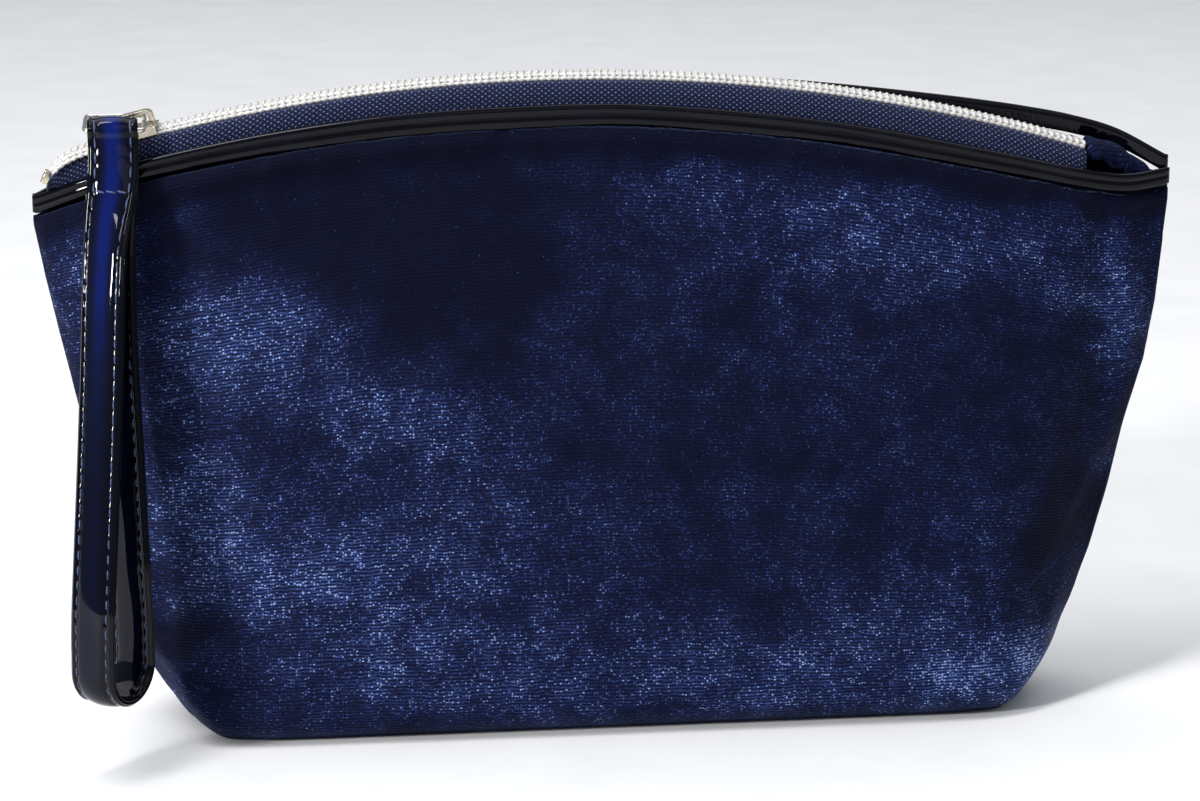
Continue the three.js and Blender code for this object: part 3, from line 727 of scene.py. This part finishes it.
# %% Inner layers
LAYER_STEP = 5
LAYER_TOP = 6
MIDDLE_GAP = 0.4
fewer = (slice(LAYER_TOP, None, LAYER_STEP), slice(LAYER_STEP, -LAYER_STEP, LAYER_STEP))
for layer, finish, inset, thickness in LAYERS:
    for half, panel in panels.items():
        grid = panel.shaped[fewer].copy()
        own_side = panel.side * grid[:, :, 1] > MIDDLE_GAP
        grid -= outward_normals(grid) * inset
        kept = panel.side * np.maximum(panel.side * grid[:, :, 1], MIDDLE_GAP)
        grid[:, :, 1] = np.where(own_side, kept, grid[:, :, 1])
        piece = make_piece(f"{half}_{layer}_sheet", grid, grid_faces(*grid.shape[:2]), finish, "pouch",
                           [f"{half}_{layer}"], panel.cloth[fewer], inside=POUCH_MIDDLE)
        thicken(piece, thickness)

# %% [markdown]
# ## Patent leather
# Patent is a dark leather under a clear lacquer. The lacquer mirrors, so the finish is a smooth coat
# over a slightly duller base, with a very shallow waviness that keeps its reflections from looking
# like glass. The trim is nearly black. The strap is dark blue, painted vivid blue on its crown and
# near its top, which is painted light.

# %% Patent finishes
def lacquered(name, colour_of, waviness):
    """Patent whose colour comes from a function, with waves of a depth in mm in its lacquer."""
    paint = Finish(name, Coat_Weight=1.0, Coat_Roughness=0.04, Coat_IOR=1.28, Specular_IOR_Level=0.0)
    place = paint.place()
    grain = paint.noise(place, 1800, 2)
    height = paint.math("ADD", paint.noise(place, 260, 2, 0.4), paint.math("MULTIPLY", grain, 0.05))
    return paint.use(Base_Color=colour_of(paint, place), Roughness=paint.span(grain, 0.3, 0.7, 0.2, 0.32),
                     Normal=paint.bump(height, waviness, 0.6))


def black_dye(paint, place):
    return paint.ramp(paint.noise(place, 120, 3), [(0.35, dye(2, 2, 7)), (0.65, dye(5, 6, 16))])


def blue_with_painted_light(paint, place):
    """Vivid blue on the crown between the stitches and near the top, which is painted light; almost black
    elsewhere.
    """
    across = paint.math("ABSOLUTE", paint.split(paint.cloth())[1])
    # the crown and the upper strap are painted brighter: painted light where the lamps fall on it
    crown = paint.span(across, 3.6, 0.4)
    height = paint.span(paint.split(place)[2], 0.06, 0.118, 0.22, 1)
    cloudy = paint.span(paint.noise(place, 60, 2), 0.3, 0.7, 0.7, 1)
    painted_lit_share = paint.math("MULTIPLY", crown, paint.math("MULTIPLY", height, cloudy))
    return paint.ramp(painted_lit_share, [(0, dye(3, 4, 12)), (0.45, dye(7, 13, 42)), (1, dye(8, 24, 92))])


trim_patent = lacquered("trim_patent", black_dye, 0.1)
strap_patent = lacquered("strap_patent", blue_with_painted_light, 0.2)

# %% [markdown]
# ## The trims
# A trim is a folded strip: a rounded roll on top, a shallow groove where it is stitched down, and a
# lower edge that sinks into the velvet. One cross-section swept along the lip gives the two long
# highlights. The section is a closed curve through a few points, and small swells along the strip
# keep the highlights from being ruler-straight.

# %% Section of a trim
# across the strip from its inner face (-1) to its outer one (1), and mm above the lip
TRIM_SECTION = [
    (-0.05, 0.12), (0.55, -0.02), (0.98, -0.5), (1.06, -1.1), (0.9, -1.7), (0.72, -2.05),
    (0.86, -2.5), (0.96, -3.1), (0.9, -3.9), (0.62, -4.6), (0, -4.85), (-0.7, -4.75),
    (-0.95, -4.2), (-0.98, -2.6), (-1, -1), (-0.62, -0.1),
]


def closed_curve(corners, per_span=4):
    """A smooth closed curve through its corners (Catmull-Rom)."""
    p = np.array(corners, float)
    before, after, beyond = np.roll(p, 1, axis=0), np.roll(p, -1, axis=0), np.roll(p, -2, axis=0)
    parts = []
    for s in np.arange(per_span) / per_span:
        parts.append(0.5 * (2 * p + (after - before) * s + (2 * before - 5 * p + 4 * after - beyond) * s**2
                            + (3 * p - before - 3 * after + beyond) * s**3))
    return np.stack(parts, axis=1).reshape(-1, 2)


def capped(rings):
    """Faces of a tube with both of its ends closed."""
    count, size = rings.shape[:2]
    faces = grid_faces(count, size, joins_columns=True)
    return [*faces, tuple(range(size)), tuple(range((count - 1) * size, count * size))]


section = closed_curve(TRIM_SECTION)
print("the trim's section has", len(section), "points")


# %% Trims
TRIM_OVERHANG = 0.5
TRIM_RINGS = 420
LEAST_TRIM = 0.8


def evened(values, times):
    """A row of numbers without its small steps."""
    return soften(np.repeat(values[:, None], 3, axis=1), times)[:, 1]


for half, lip in lips.items():
    end = lip.end + TRIM_OVERHANG
    x = np.linspace(-end, end, TRIM_RINGS)
    outer = evened(lip.outer(x), 60) + 0.1
    inner = np.minimum(evened(lip.inner(x), 60), outer - LEAST_TRIM)
    swell = 1 + 0.06 * lumps(x, x * 0, 14, 2.2) + 0.03 * lumps(x, x * 0, 5, 9.1)
    tuck = np.clip((end - np.abs(x)) / 1.2, 0.05, 1) ** 0.5
    slimmer = (0.85 + 0.15 * tuck) * (1 - 0.2 * smoothstep(np.abs(x), 50, 118))
    across = section[None, :, 0] * (swell * tuck)[:, None]
    y = (outer + inner)[:, None] / 2 + across * ((outer - inner) / 2)[:, None]
    z = lip.top(x)[:, None] + section[None, :, 1] * slimmer[:, None]
    rings = np.stack([np.repeat(x[:, None], len(section), axis=1), lip.side * y, z], axis=2)
    make_piece(f"{half}_patent_trim", rings, capped(rings), trim_patent, "pouch", [f"{half}_trim"])

# %% [markdown]
# ## The line of the zip
# The slider has to follow the chain, so the chain lies on a circle about the slider's hinge axis.
# Past the slider it bends down into the corner. One function gives the place and the upward
# direction for any length along it; the tape, the coil and its teeth all use it.

# %% Chain line
travel = next(joint for joint in frame["joints"] if joint["name"] == "slider_travel")
ARC_X = travel["pos_m"][0] / MM
ARC_Z = travel["pos_m"][2] / MM
COIL_HEIGHT = 1.7
ARC_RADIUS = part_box("zip_coil_front")[1].z / MM - ARC_Z - COIL_HEIGHT
CHAIN_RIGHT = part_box("zip_tape_front")[1].x / MM
# x where the chain leaves the circle, and the two points that draw its bend into the corner
BEND_FROM = -112
BEND = [(-118.6, 124.9), (-120.3, 120.6)]


def chain_line():
    """Points along the tape's top face from the right end to the left one, and their outward sides."""
    first, last = (math.asin((x - ARC_X) / ARC_RADIUS) for x in (CHAIN_RIGHT, BEND_FROM))
    angles = np.linspace(first, last, 400)
    arc = np.c_[ARC_X + ARC_RADIUS * np.sin(angles), ARC_Z + ARC_RADIUS * np.cos(angles)]
    s = np.linspace(0, 1, 60)[1:, None]
    bend = (1 - s) ** 2 * arc[-1] + 2 * s * (1 - s) * np.array(BEND[0]) + s**2 * np.array(BEND[1])
    line = np.concatenate([arc, bend])
    along = np.gradient(line, axis=0)
    along /= np.linalg.norm(along, axis=1, keepdims=True)
    return line, np.c_[along[:, 1], -along[:, 0]]


chain, chain_out = chain_line()
chain_length = arc_lengths(chain)


def on_chain(length, y, up):
    """A point beside the chain: mm along it, mm to the side, mm above the tape."""
    length, y, up = np.broadcast_arrays(length, y, up)
    x, z, out_x, out_z = (np.interp(length, chain_length, column) for column in (*chain.T, *chain_out.T))
    return np.stack([x + out_x * up, y, z + out_z * up], axis=-1)


print("chain length in mm:", round(float(chain_length[-1]), 1))

# %% [markdown]
# ## Zip tape
# Zip tape is a narrow twill. It lies flat under the coil and turns down behind the trim. Its
# herringbone is two sets of slanted ribs that meet in a line, with a light thread that shows as a row
# of dots where the coil is sewn on. The pattern is worked out in mm on the flat tape.

# %% Tape finish
COIL_PITCH = 1.5


def tape_finish():
    paint = Finish("zip_tape_twill", Sheen_Weight=0.06, Specular_IOR_Level=0.15)
    along, across = paint.split(paint.cloth())[:2]
    side = paint.math("PINGPONG", across, 1.1)
    ribs = paint.math("SINE", paint.math("MULTIPLY", paint.math("ADD", along, side), math.tau / 0.75))
    dot = paint.math("MULTIPLY", paint.math("SINE", paint.math("MULTIPLY", along, math.tau / COIL_PITCH)),
                     paint.math("COSINE", paint.math("MULTIPLY", across, math.tau / 1.1)))
    fuzz = paint.noise(paint.cloth(), 3, 3)
    colour = paint.ramp(paint.span(ribs, -1, 1), [(0, dye(5, 8, 28)), (1, dye(24, 32, 68))])
    colour = paint.blend(paint.span(dot, 0.45, 0.85), colour, dye(104, 118, 170))
    height = paint.math("ADD", ribs, paint.math("MULTIPLY", fuzz, 0.8))
    return paint.use(Base_Color=colour, Roughness=paint.span(fuzz, 0.3, 0.7, 0.6, 0.85),
                     Normal=paint.bump(height, 0.12))


tape_twill = tape_finish()

# %% Tapes
# mm from the middle of the zip: the tape's inner edge, and where it starts to turn down
TAPE_EDGE = 0.7
TAPE_FLAT = 5.0
LEAST_FLAT = 3.3
TAPE_THICKNESS = 0.45
for half, lip in lips.items():
    lengths = np.linspace(0, chain_length[-1], 240)
    x, _, chain_z = on_chain(lengths, 0, 0).T
    inside = np.maximum(lip.inner(x) - TAPE_THICKNESS, 0.6)
    flat = np.minimum(TAPE_FLAT, np.maximum(inside, LEAST_FLAT))
    end_y = np.minimum(inside, flat + 0.5)
    end_z = np.minimum(lip.top(x) - 1 - 3 * smoothstep(inside, 2, 4.2), chain_z - 1.2)
    columns = [on_chain(lengths, TAPE_EDGE + (flat - TAPE_EDGE) * k, -0.1 - 0.12 * k**6)
               for k in np.linspace(0, 1, 9)]
    _, last_y, last_z = columns[-1].T
    for k in np.linspace(0, 1, 7)[1:]:
        columns.append(np.c_[x, last_y + (end_y - last_y) * k, last_z + (end_z - last_z) * k**0.8])
    tape = np.stack(columns, axis=1)
    cross = np.array([arc_lengths(row) for row in tape])
    cloth = np.stack([np.repeat(lengths[:, None], tape.shape[1], axis=1), cross], axis=2)
    tape[:, :, 1] *= lip.side
    piece = make_piece(f"{half}_zip_tape", tape, grid_faces(*tape.shape[:2]), tape_twill, "pouch",
                       [f"zip_tape_{half}"], cloth, inside=POUCH_MIDDLE)
    thicken(piece, TAPE_THICKNESS)

# %% [markdown]
# ## The coil
# The teeth of this zip are one nylon thread per side, wound into flat turns at a steady pitch. The
# heads of one side sit between those of the other, half a pitch on, which gives the herringbone. It
# could be a texture, but from close by each turn has its own light and shadow, so a round thread is
# swept along the winding. A plain cord runs inside the turns, as in a real coil, and fills the gaps
# between them; a beaded one along the outer side is the thread that sews the coil to its tape. Left
# of the slider the two sides are apart.

# %% Coil finish
def coil_finish():
    paint = Finish("nylon_coil", Subsurface_Weight=0.12, Subsurface_Radius=(0.6, 0.6, 0.6),
                   Subsurface_Scale=0.001, Coat_Weight=0.2, Coat_Roughness=0.3)
    streaks = paint.noise(paint.place(), 900, 3)
    tone = paint.noise(paint.place(), 90, 2)
    colour = paint.ramp(streaks, [(0.3, dye(180, 178, 176)), (0.7, dye(212, 210, 207))])
    return paint.use(Base_Color=colour, Roughness=paint.span(tone, 0.3, 0.7, 0.28, 0.42),
                     Normal=paint.bump(streaks, 0.03))


nylon = coil_finish()


# %% Threads and cords
def rounded(value, power):
    """A sine or cosine made boxier, for flat turns."""
    return np.sign(value) * np.abs(value) ** power


def tube(path, radius, sides):
    """Rings of points round a path, without twist."""
    ahead = np.gradient(path, axis=0)
    ahead /= np.linalg.norm(ahead, axis=1, keepdims=True)
    side = np.cross(ahead, np.array([1.0, 0.15, 0.1]))
    side /= np.linalg.norm(side, axis=1, keepdims=True)
    over = np.cross(ahead, side)
    around = np.arange(sides) / sides * math.tau
    return path[:, None] + radius * (np.cos(around)[None, :, None] * side[:, None]
                                     + np.sin(around)[None, :, None] * over[:, None])


def joined(tubes):
    """Points and faces of several closed tubes as one mesh."""
    points, faces = np.empty((0, 3)), []
    for rings in tubes:
        faces += [tuple(i + len(points) for i in face) for face in capped(rings)]
        points = np.concatenate([points, rings.reshape(-1, 3)])
    return points, faces


# the coil's thread in mm, and its turns: farthest and nearest to the other side, and lowest
THREAD = 0.38
COIL_OUTER = 3.25
COIL_INNER = -0.35
COIL_LOW = -0.2
COIL_HALF = (COIL_OUTER - COIL_INNER) / 2
TURN_POINTS = 14
print("a turn of the coil is", round(2 * COIL_HALF, 2), "mm by", round(COIL_HEIGHT - COIL_LOW, 2), "mm")

# %% Coils
SLIDER_X = -101.5
STOP_LENGTH = 2.5
SIDES_APART = 0.95
coil_length = chain_length[-1] - STOP_LENGTH
around = np.arange(12) / 12 * math.tau
for half, lip in lips.items():
    turned, start = (0, 0.4) if half == "front" else (math.pi, 0.4 - COIL_PITCH / 2)
    winding = np.arange(0, coil_length / COIL_PITCH - 1, 1 / TURN_POINTS) * math.tau + turned
    length = start + winding / math.tau * COIL_PITCH
    at_x = np.interp(length, chain_length, chain[:, 0])
    apart = SIDES_APART * smoothstep(-at_x, -SLIDER_X - 2.0, -SLIDER_X + 5.0)
    middle = (COIL_OUTER + COIL_INNER) / 2 + apart
    y = middle + (COIL_HALF - THREAD) * rounded(np.cos(winding), 0.75)
    rise = ((COIL_HEIGHT - COIL_LOW) / 2 - THREAD) * rounded(np.sin(winding), 0.9)
    path = on_chain(np.clip(length, 0, coil_length), lip.side * y, (COIL_HEIGHT + COIL_LOW) / 2 + rise)
    # the plain cord inside the turns
    at = np.linspace(0.4, coil_length - 0.4, 260)[:, None]
    y = np.interp(at[:, 0], length, middle)[:, None] + 0.25 + np.cos(around)
    core = on_chain(at, lip.side * y, COIL_HEIGHT / 2 + 0.55 * np.sin(around))
    # the beaded thread that sews the coil down
    at = np.arange(0.3, coil_length - 0.3, COIL_PITCH / 8)[:, None]
    bulge = 0.3 + 0.2 * np.abs(np.sin(at / COIL_PITCH * math.pi))
    y = np.interp(at[:, 0], length, middle)[:, None] + COIL_HALF - 0.2 + bulge * np.cos(around)
    seam = on_chain(at, lip.side * y, 0.3 + bulge * np.sin(around))
    points, faces = joined([tube(path, THREAD, 6), core, seam])
    make_piece(f"{half}_zip_coil", points, faces, nylon, "pouch", [f"zip_coil_{half}"])

# %% [markdown]
# ## Metal of the slider, the ring and the stops
# These solids already have their true shape, and a bevel on their edges is all that they lack: real
# cast metal has no sharp edge, and the bevel catches the light. The ring is bent wire, so it is
# rounded by subdivision instead. The finish is a pale plating with fine tool marks and a little
# dulling where fingers rub it.

# %% Metal finishes
def metal_finish(name, dark, bright, low, high):
    """Plating between two colours, and between two roughnesses where it is worn."""
    paint = Finish(name, Metallic=1.0)
    place = paint.place()
    marks = paint.noise(paint.stretch(place, (300, 1900, 1900)), 1, 3)
    worn = paint.noise(place, 420, 3)
    return paint.use(Base_Color=paint.ramp(worn, [(0.3, dark), (0.7, bright)]),
                     Roughness=paint.span(worn, 0.3, 0.7, low, high), Normal=paint.bump(marks, 0.01, 0.4))


pale_gold = metal_finish("pale_gold", dye(186, 176, 152), dye(228, 220, 200), 0.16, 0.32)
plated_wire = metal_finish("plated_wire", dye(190, 186, 176), dye(230, 227, 220), 0.12, 0.24)


# %% Metal pieces
BEVELS = {"slider_body": 0.22, "slider_crown": 0.25, "zip_stop_front": 0.3, "zip_stop_back": 0.3}
SHARP_EDGE = math.radians(38)


def plated(node, finish):
    """A frame solid with a metal finish, its points joined so that its edges can be rounded."""
    solid = frame["nodes"][node]
    solid.data.materials.clear()
    solid.data.materials.append(finish)
    solid.data.shade_smooth()
    weld = solid.modifiers.new("weld", "WELD")
    weld.merge_threshold = 0.002 * MM
    return solid


for node, width in BEVELS.items():
    solid = plated(node, pale_gold)
    bevel = solid.modifiers.new("bevel", "BEVEL")
    bevel.width = width * MM
    bevel.segments = 3
    bevel.limit_method = "ANGLE"
    bevel.angle_limit = SHARP_EDGE
    flat = solid.modifiers.new("normals", "WEIGHTED_NORMAL")
    flat.keep_sharp = True

ring = plated("pull_ring", plated_wire)
ring_round = ring.modifiers.new("round", "SUBSURF")
ring_round.levels = ring_round.render_levels = 2
print("metal pieces:", [*BEVELS, "pull_ring"])

# %% [markdown]
# ## The velvet tab at the closed end
# A scrap of velvet is folded over the end of the zip and pushed down into the corner, where it
# wrinkles. Its solid is a plain wedge, so a copy is rounded by subdivision and creased across with
# noise that is stretched along the folds. The same noise paints the pile darker in the creases and
# brighter on the ridges, which is painted shade and painted light.

# %% End tab
TAB_PUFF = 0.7


def rounded_copy(node):
    """Points in mm, normals and faces of a frame solid after subdivision."""
    work = bmesh.new()
    work.from_mesh(frame["nodes"][node].data)
    bmesh.ops.remove_doubles(work, verts=work.verts, dist=0.01 * MM)
    mesh = bpy.data.meshes.new("plain_start")
    work.to_mesh(mesh)
    work.free()
    start = bpy.data.objects.new("plain_start", mesh)
    bpy.context.scene.collection.objects.link(start)
    rounder = start.modifiers.new("round", "SUBSURF")
    rounder.levels = 4
    evaluated = start.evaluated_get(bpy.context.evaluated_depsgraph_get()).data
    points = np.array([v.co for v in evaluated.vertices]) / MM
    normals = np.array([v.normal for v in evaluated.vertices])
    faces = [tuple(p.vertices) for p in evaluated.polygons]
    bpy.data.objects.remove(start)
    return points, normals, faces


points, normals, faces = rounded_copy("zip_end_tab")
x, y, z = points.T
fold = lumps(x + 0.5 * y, z * 0.3 + y * 0.1, 2.3, 7.7) * 0.45 + lumps(x, y, 5, 1.1) * 0.3
creased = points + normals * (fold + TAB_PUFF)[:, None]
# the pile's brightness follows the folds: painted shade in the creases, painted light on the ridges
make_piece("end_tab_velvet", creased, faces, velvet, "pouch", ["zip_end_tab"], np.c_[x, y + z],
           0.25 + 0.3 * np.clip(fold, -0.5, 1))

# %% [markdown]
# ## The wrist strap
# The strap is a strip of patent folded over the ring, sewn back to back and stitched along both edges.
# Its two plies are each a closed band round the loop. The middle line of the loop is a few smooth
# functions of height: how far the legs stand apart, how far the loop leans from the pouch, and a
# twist below the seam.

# %% Line of the strap
WIDTH = 10.4
PLY = 0.95
STRAP_BOTTOM = 16.4
BOTTOM_RADIUS = 7.2
FOOT_Z = STRAP_BOTTOM + BOTTOM_RADIUS + PLY
FOLD_RADIUS = 1.95
CENTRE_X = -106
TWIST = math.radians(33)
# height, then mm of half the gap between the legs, of the lean to the front, and of a shift sideways
legs_apart = through([(24.6, 7.2), (34, 7), (44, 6.2), (58, 5), (72, 3.85), (85, 2.8), (98, 2.05), (112, 1.4),
                      (119, 1.1), (125.5, 1.1), (129.5, 1.6), (132.8, 1.8)])
leans_out = through([(14, -35.5), (38, -35.2), (50, -33), (68, -28.4), (88, -23.6), (102, -20), (112, -16.8),
                     (118, -14), (124, -11.4), (130, -8.7), (131.5, -8.3), (137, -8.3)])
shifts = through([(14, -3), (40, -2.6), (72, -2), (98, -1.6), (113, -1), (126, 0), (137, 0)])
swing = next(joint for joint in frame["joints"] if joint["name"] == "strap_swing")
BAR_Z = swing["pos_m"][2] / MM


def strap_line():
    """The loop's middle line: front to back, and height, from the fold down the front leg and round."""
    heights = np.linspace(BAR_Z - 0.5, FOOT_Z, 180)
    front = np.c_[-legs_apart(heights), heights]
    turn = np.linspace(math.pi, math.tau, 40)[1:-1]
    bottom = np.c_[BOTTOM_RADIUS * np.cos(turn), FOOT_Z + BOTTOM_RADIUS * np.sin(turn)]
    back = np.c_[legs_apart(heights[::-1]), heights[::-1]]
    over = np.linspace(0, math.pi, 16)[1:-1]
    fold = np.c_[FOLD_RADIUS * np.cos(over), BAR_Z + FOLD_RADIUS * np.sin(over)]
    line = np.concatenate([front, bottom, back, fold])
    closed = np.concatenate([line, line[:1]])
    length = arc_lengths(closed)
    even = np.linspace(0, length[-1], 361)
    return even, np.c_[np.interp(even, length, closed[:, 0]), np.interp(even, length, closed[:, 1])]


strap_length, strap_path = strap_line()
ahead = np.gradient(np.concatenate([strap_path[-3:-1], strap_path, strap_path[1:3]]), axis=0)[2:-2]
ahead /= np.linalg.norm(ahead, axis=1, keepdims=True)
strap_outward = np.c_[ahead[:, 1], -ahead[:, 0]]
print("strap loop is", round(float(strap_length[-1]), 1), "mm round")


def on_strap(length, across, out):
    """A point of the strap: mm round the loop, mm across from its middle, mm outward."""
    length, across, out = np.broadcast_arrays(length, across, out)
    q, z, out_q, out_z = (np.interp(length, strap_length, column)
                          for column in (*strap_path.T, *strap_outward.T))
    q = q + out_q * out
    z = z + out_z * out
    twist = TWIST * (1 - smoothstep(z, 108, 127))
    x = CENTRE_X + shifts(z) + across * np.cos(twist) + q * np.sin(twist)
    return np.stack([x, leans_out(z) - across * np.sin(twist) + q * np.cos(twist), z], axis=-1)


# %% [markdown]
# ## The plies of the strap
# Sewing pulls patent down along the seams and leaves it puffed between them. A subdivided ribbon
# would come out flat, so the thickness is a formula of the place on the strap: a soft crown, two
# channels with a pinch at every stitch, and a waist where the strap is sewn shut under the ring.

# %% Plies
STITCH_PITCH = 3.0
STITCH_ROW = WIDTH / 2 - 1.5
WAIST_Z = 121
PUFF = 0.5
CHANNEL = 0.34


def ply_height(length, across):
    """Thickness of one ply, from the middle of the strap to its face."""
    z = np.interp(length, strap_length, strap_path[:, 1])
    apart = np.interp(length, strap_length, np.abs(strap_path[:, 0]))
    room = smoothstep(apart, 1.0, 3.0)
    puff = PUFF * np.clip(1 - (across / (STITCH_ROW - 0.2)) ** 2, 0, 1)
    puff *= 1 + 0.35 * lumps(length, across * 0.3, 9, 3.3)
    channel = CHANNEL * np.exp(-(((np.abs(across) - STITCH_ROW) / 0.5) ** 2))
    pinch = 0.75 + 0.25 * np.cos(length / STITCH_PITCH * math.tau)
    edge = PLY - 0.5 * smoothstep(np.abs(across), WIDTH / 2 - 0.7, WIDTH / 2)
    waist = 0.25 * np.exp(-(((z - WAIST_Z) / 2.4) ** 2))
    return edge + puff * (0.4 + 0.6 * room) - channel * pinch - waist


def ply(side):
    """One ply as rings round the loop: 1 is the outer face of the strap, -1 the inner one."""
    across = WIDTH / 2 * np.sin(np.linspace(-1, 1, 33) * math.pi / 2)
    length, over = np.meshgrid(strap_length[:-1], across, indexing="ij")
    height = ply_height(length, over)
    apart = np.interp(length, strap_length, np.abs(strap_path[:, 0]))
    if side < 0:
        height = np.minimum(height, np.maximum(apart - 0.08, 0.5))
    face = on_strap(length, over, side * height)
    edge_round = 0.03 + 0.14 * smoothstep(np.abs(over), WIDTH / 2 - 0.25, WIDTH / 2)
    back = on_strap(length, over, side * edge_round)
    flat = np.stack([length, over], axis=2)
    return np.concatenate([face, back[:, ::-1]], axis=1), np.concatenate([flat, flat[:, ::-1]], axis=1)


for name, side, node in (("strap_outer_ply", 1, "strap_outer"), ("strap_inner_ply", -1, "strap_inner")):
    rings, flat = ply(side)
    make_piece(name, rings, grid_faces(*rings.shape[:2], joins_rows=True, joins_columns=True), strap_patent,
               "strap", [node], flat)

# %% [markdown]
# ## Stitches
# A thread that lies in its channel is what makes the strap look sewn. Each stitch is a short rounded
# bead that dips into the strap at both ends. A loop lays them at a steady pitch along both edges on
# both faces, and one row crosses the strap under the ring, where its four layers are joined.

# %% Thread finish
def thread_finish():
    paint = Finish("blue_thread", Sheen_Weight=0.15, Specular_IOR_Level=0.4)
    twist = paint.noise(paint.stretch(paint.place(), (1, 1, 1.5)), 2600, 2)
    return paint.use(Base_Color=paint.ramp(twist, [(0.35, dye(18, 24, 62)), (0.65, dye(78, 90, 138))]),
                     Roughness=paint.span(twist, 0.3, 0.7, 0.35, 0.6), Normal=paint.bump(twist, 0.05))


blue_thread = thread_finish()

# %% One stitch
THREAD_HALF = 0.2
STITCH_LENGTH = 2.3
BEAD_STEPS = 7
BEAD_SIDES = 6


def bead(length, across, face, slant=0.0, crosswise=False):
    """One stitch: rings along its line, thin at both ends and sunk into the strap there."""
    run = np.linspace(-0.5, 0.5, BEAD_STEPS) * STITCH_LENGTH
    fat = THREAD_HALF * np.sqrt(np.clip(1 - (run / (0.52 * STITCH_LENGTH)) ** 2, 0.04, 1))
    around = np.arange(BEAD_SIDES) / BEAD_SIDES * math.tau
    along = run[:, None] + np.zeros(BEAD_SIDES)
    beside = fat[:, None] * np.cos(around) + slant * run[:, None]
    if crosswise:
        along, beside = beside, along
    floor_height = ply_height(np.array([length]), np.array([across]))[0]
    sunk = 0.1 - 0.25 * (run[:, None] / (0.5 * STITCH_LENGTH)) ** 4
    out = floor_height + sunk + fat[:, None] * np.sin(around)
    return on_strap((length + along) % strap_length[-1], across + beside, face * out)


# %% All stitches of the strap
# the inner faces are stitched only where the legs stand apart: mm from the middle, and height
OPEN_FROM = 2.6
OPEN_BELOW = 110
CROSS_STITCHES = (-2.2, 0, 2.2)


def strap_stitches():
    """Beads along both edges of both faces, and the row that crosses each leg."""
    beads = []
    count = int(strap_length[-1] // STITCH_PITCH)
    for face in (1, -1):
        for row in (-1, 1):
            for k in range(count):
                at = (k + 0.5) * strap_length[-1] / count
                q, z = (np.interp(at, strap_length, column) for column in strap_path.T)
                if face > 0 or (abs(q) > OPEN_FROM and z < OPEN_BELOW):
                    beads.append(bead(at, row * STITCH_ROW, face, 0.04))
    half_round = len(strap_path) // 2
    waist = np.interp(WAIST_Z, strap_path[:half_round, 1][::-1], strap_length[:half_round][::-1])
    for at in (waist, strap_length[-1] - FOLD_RADIUS * math.pi - waist):
        for across in CROSS_STITCHES:
            beads.append(bead(at, across, 1, 0.2, crosswise=True))
    return np.array(beads)


points, faces = joined(strap_stitches())
make_piece("strap_stitching", points, faces, blue_thread, "strap")
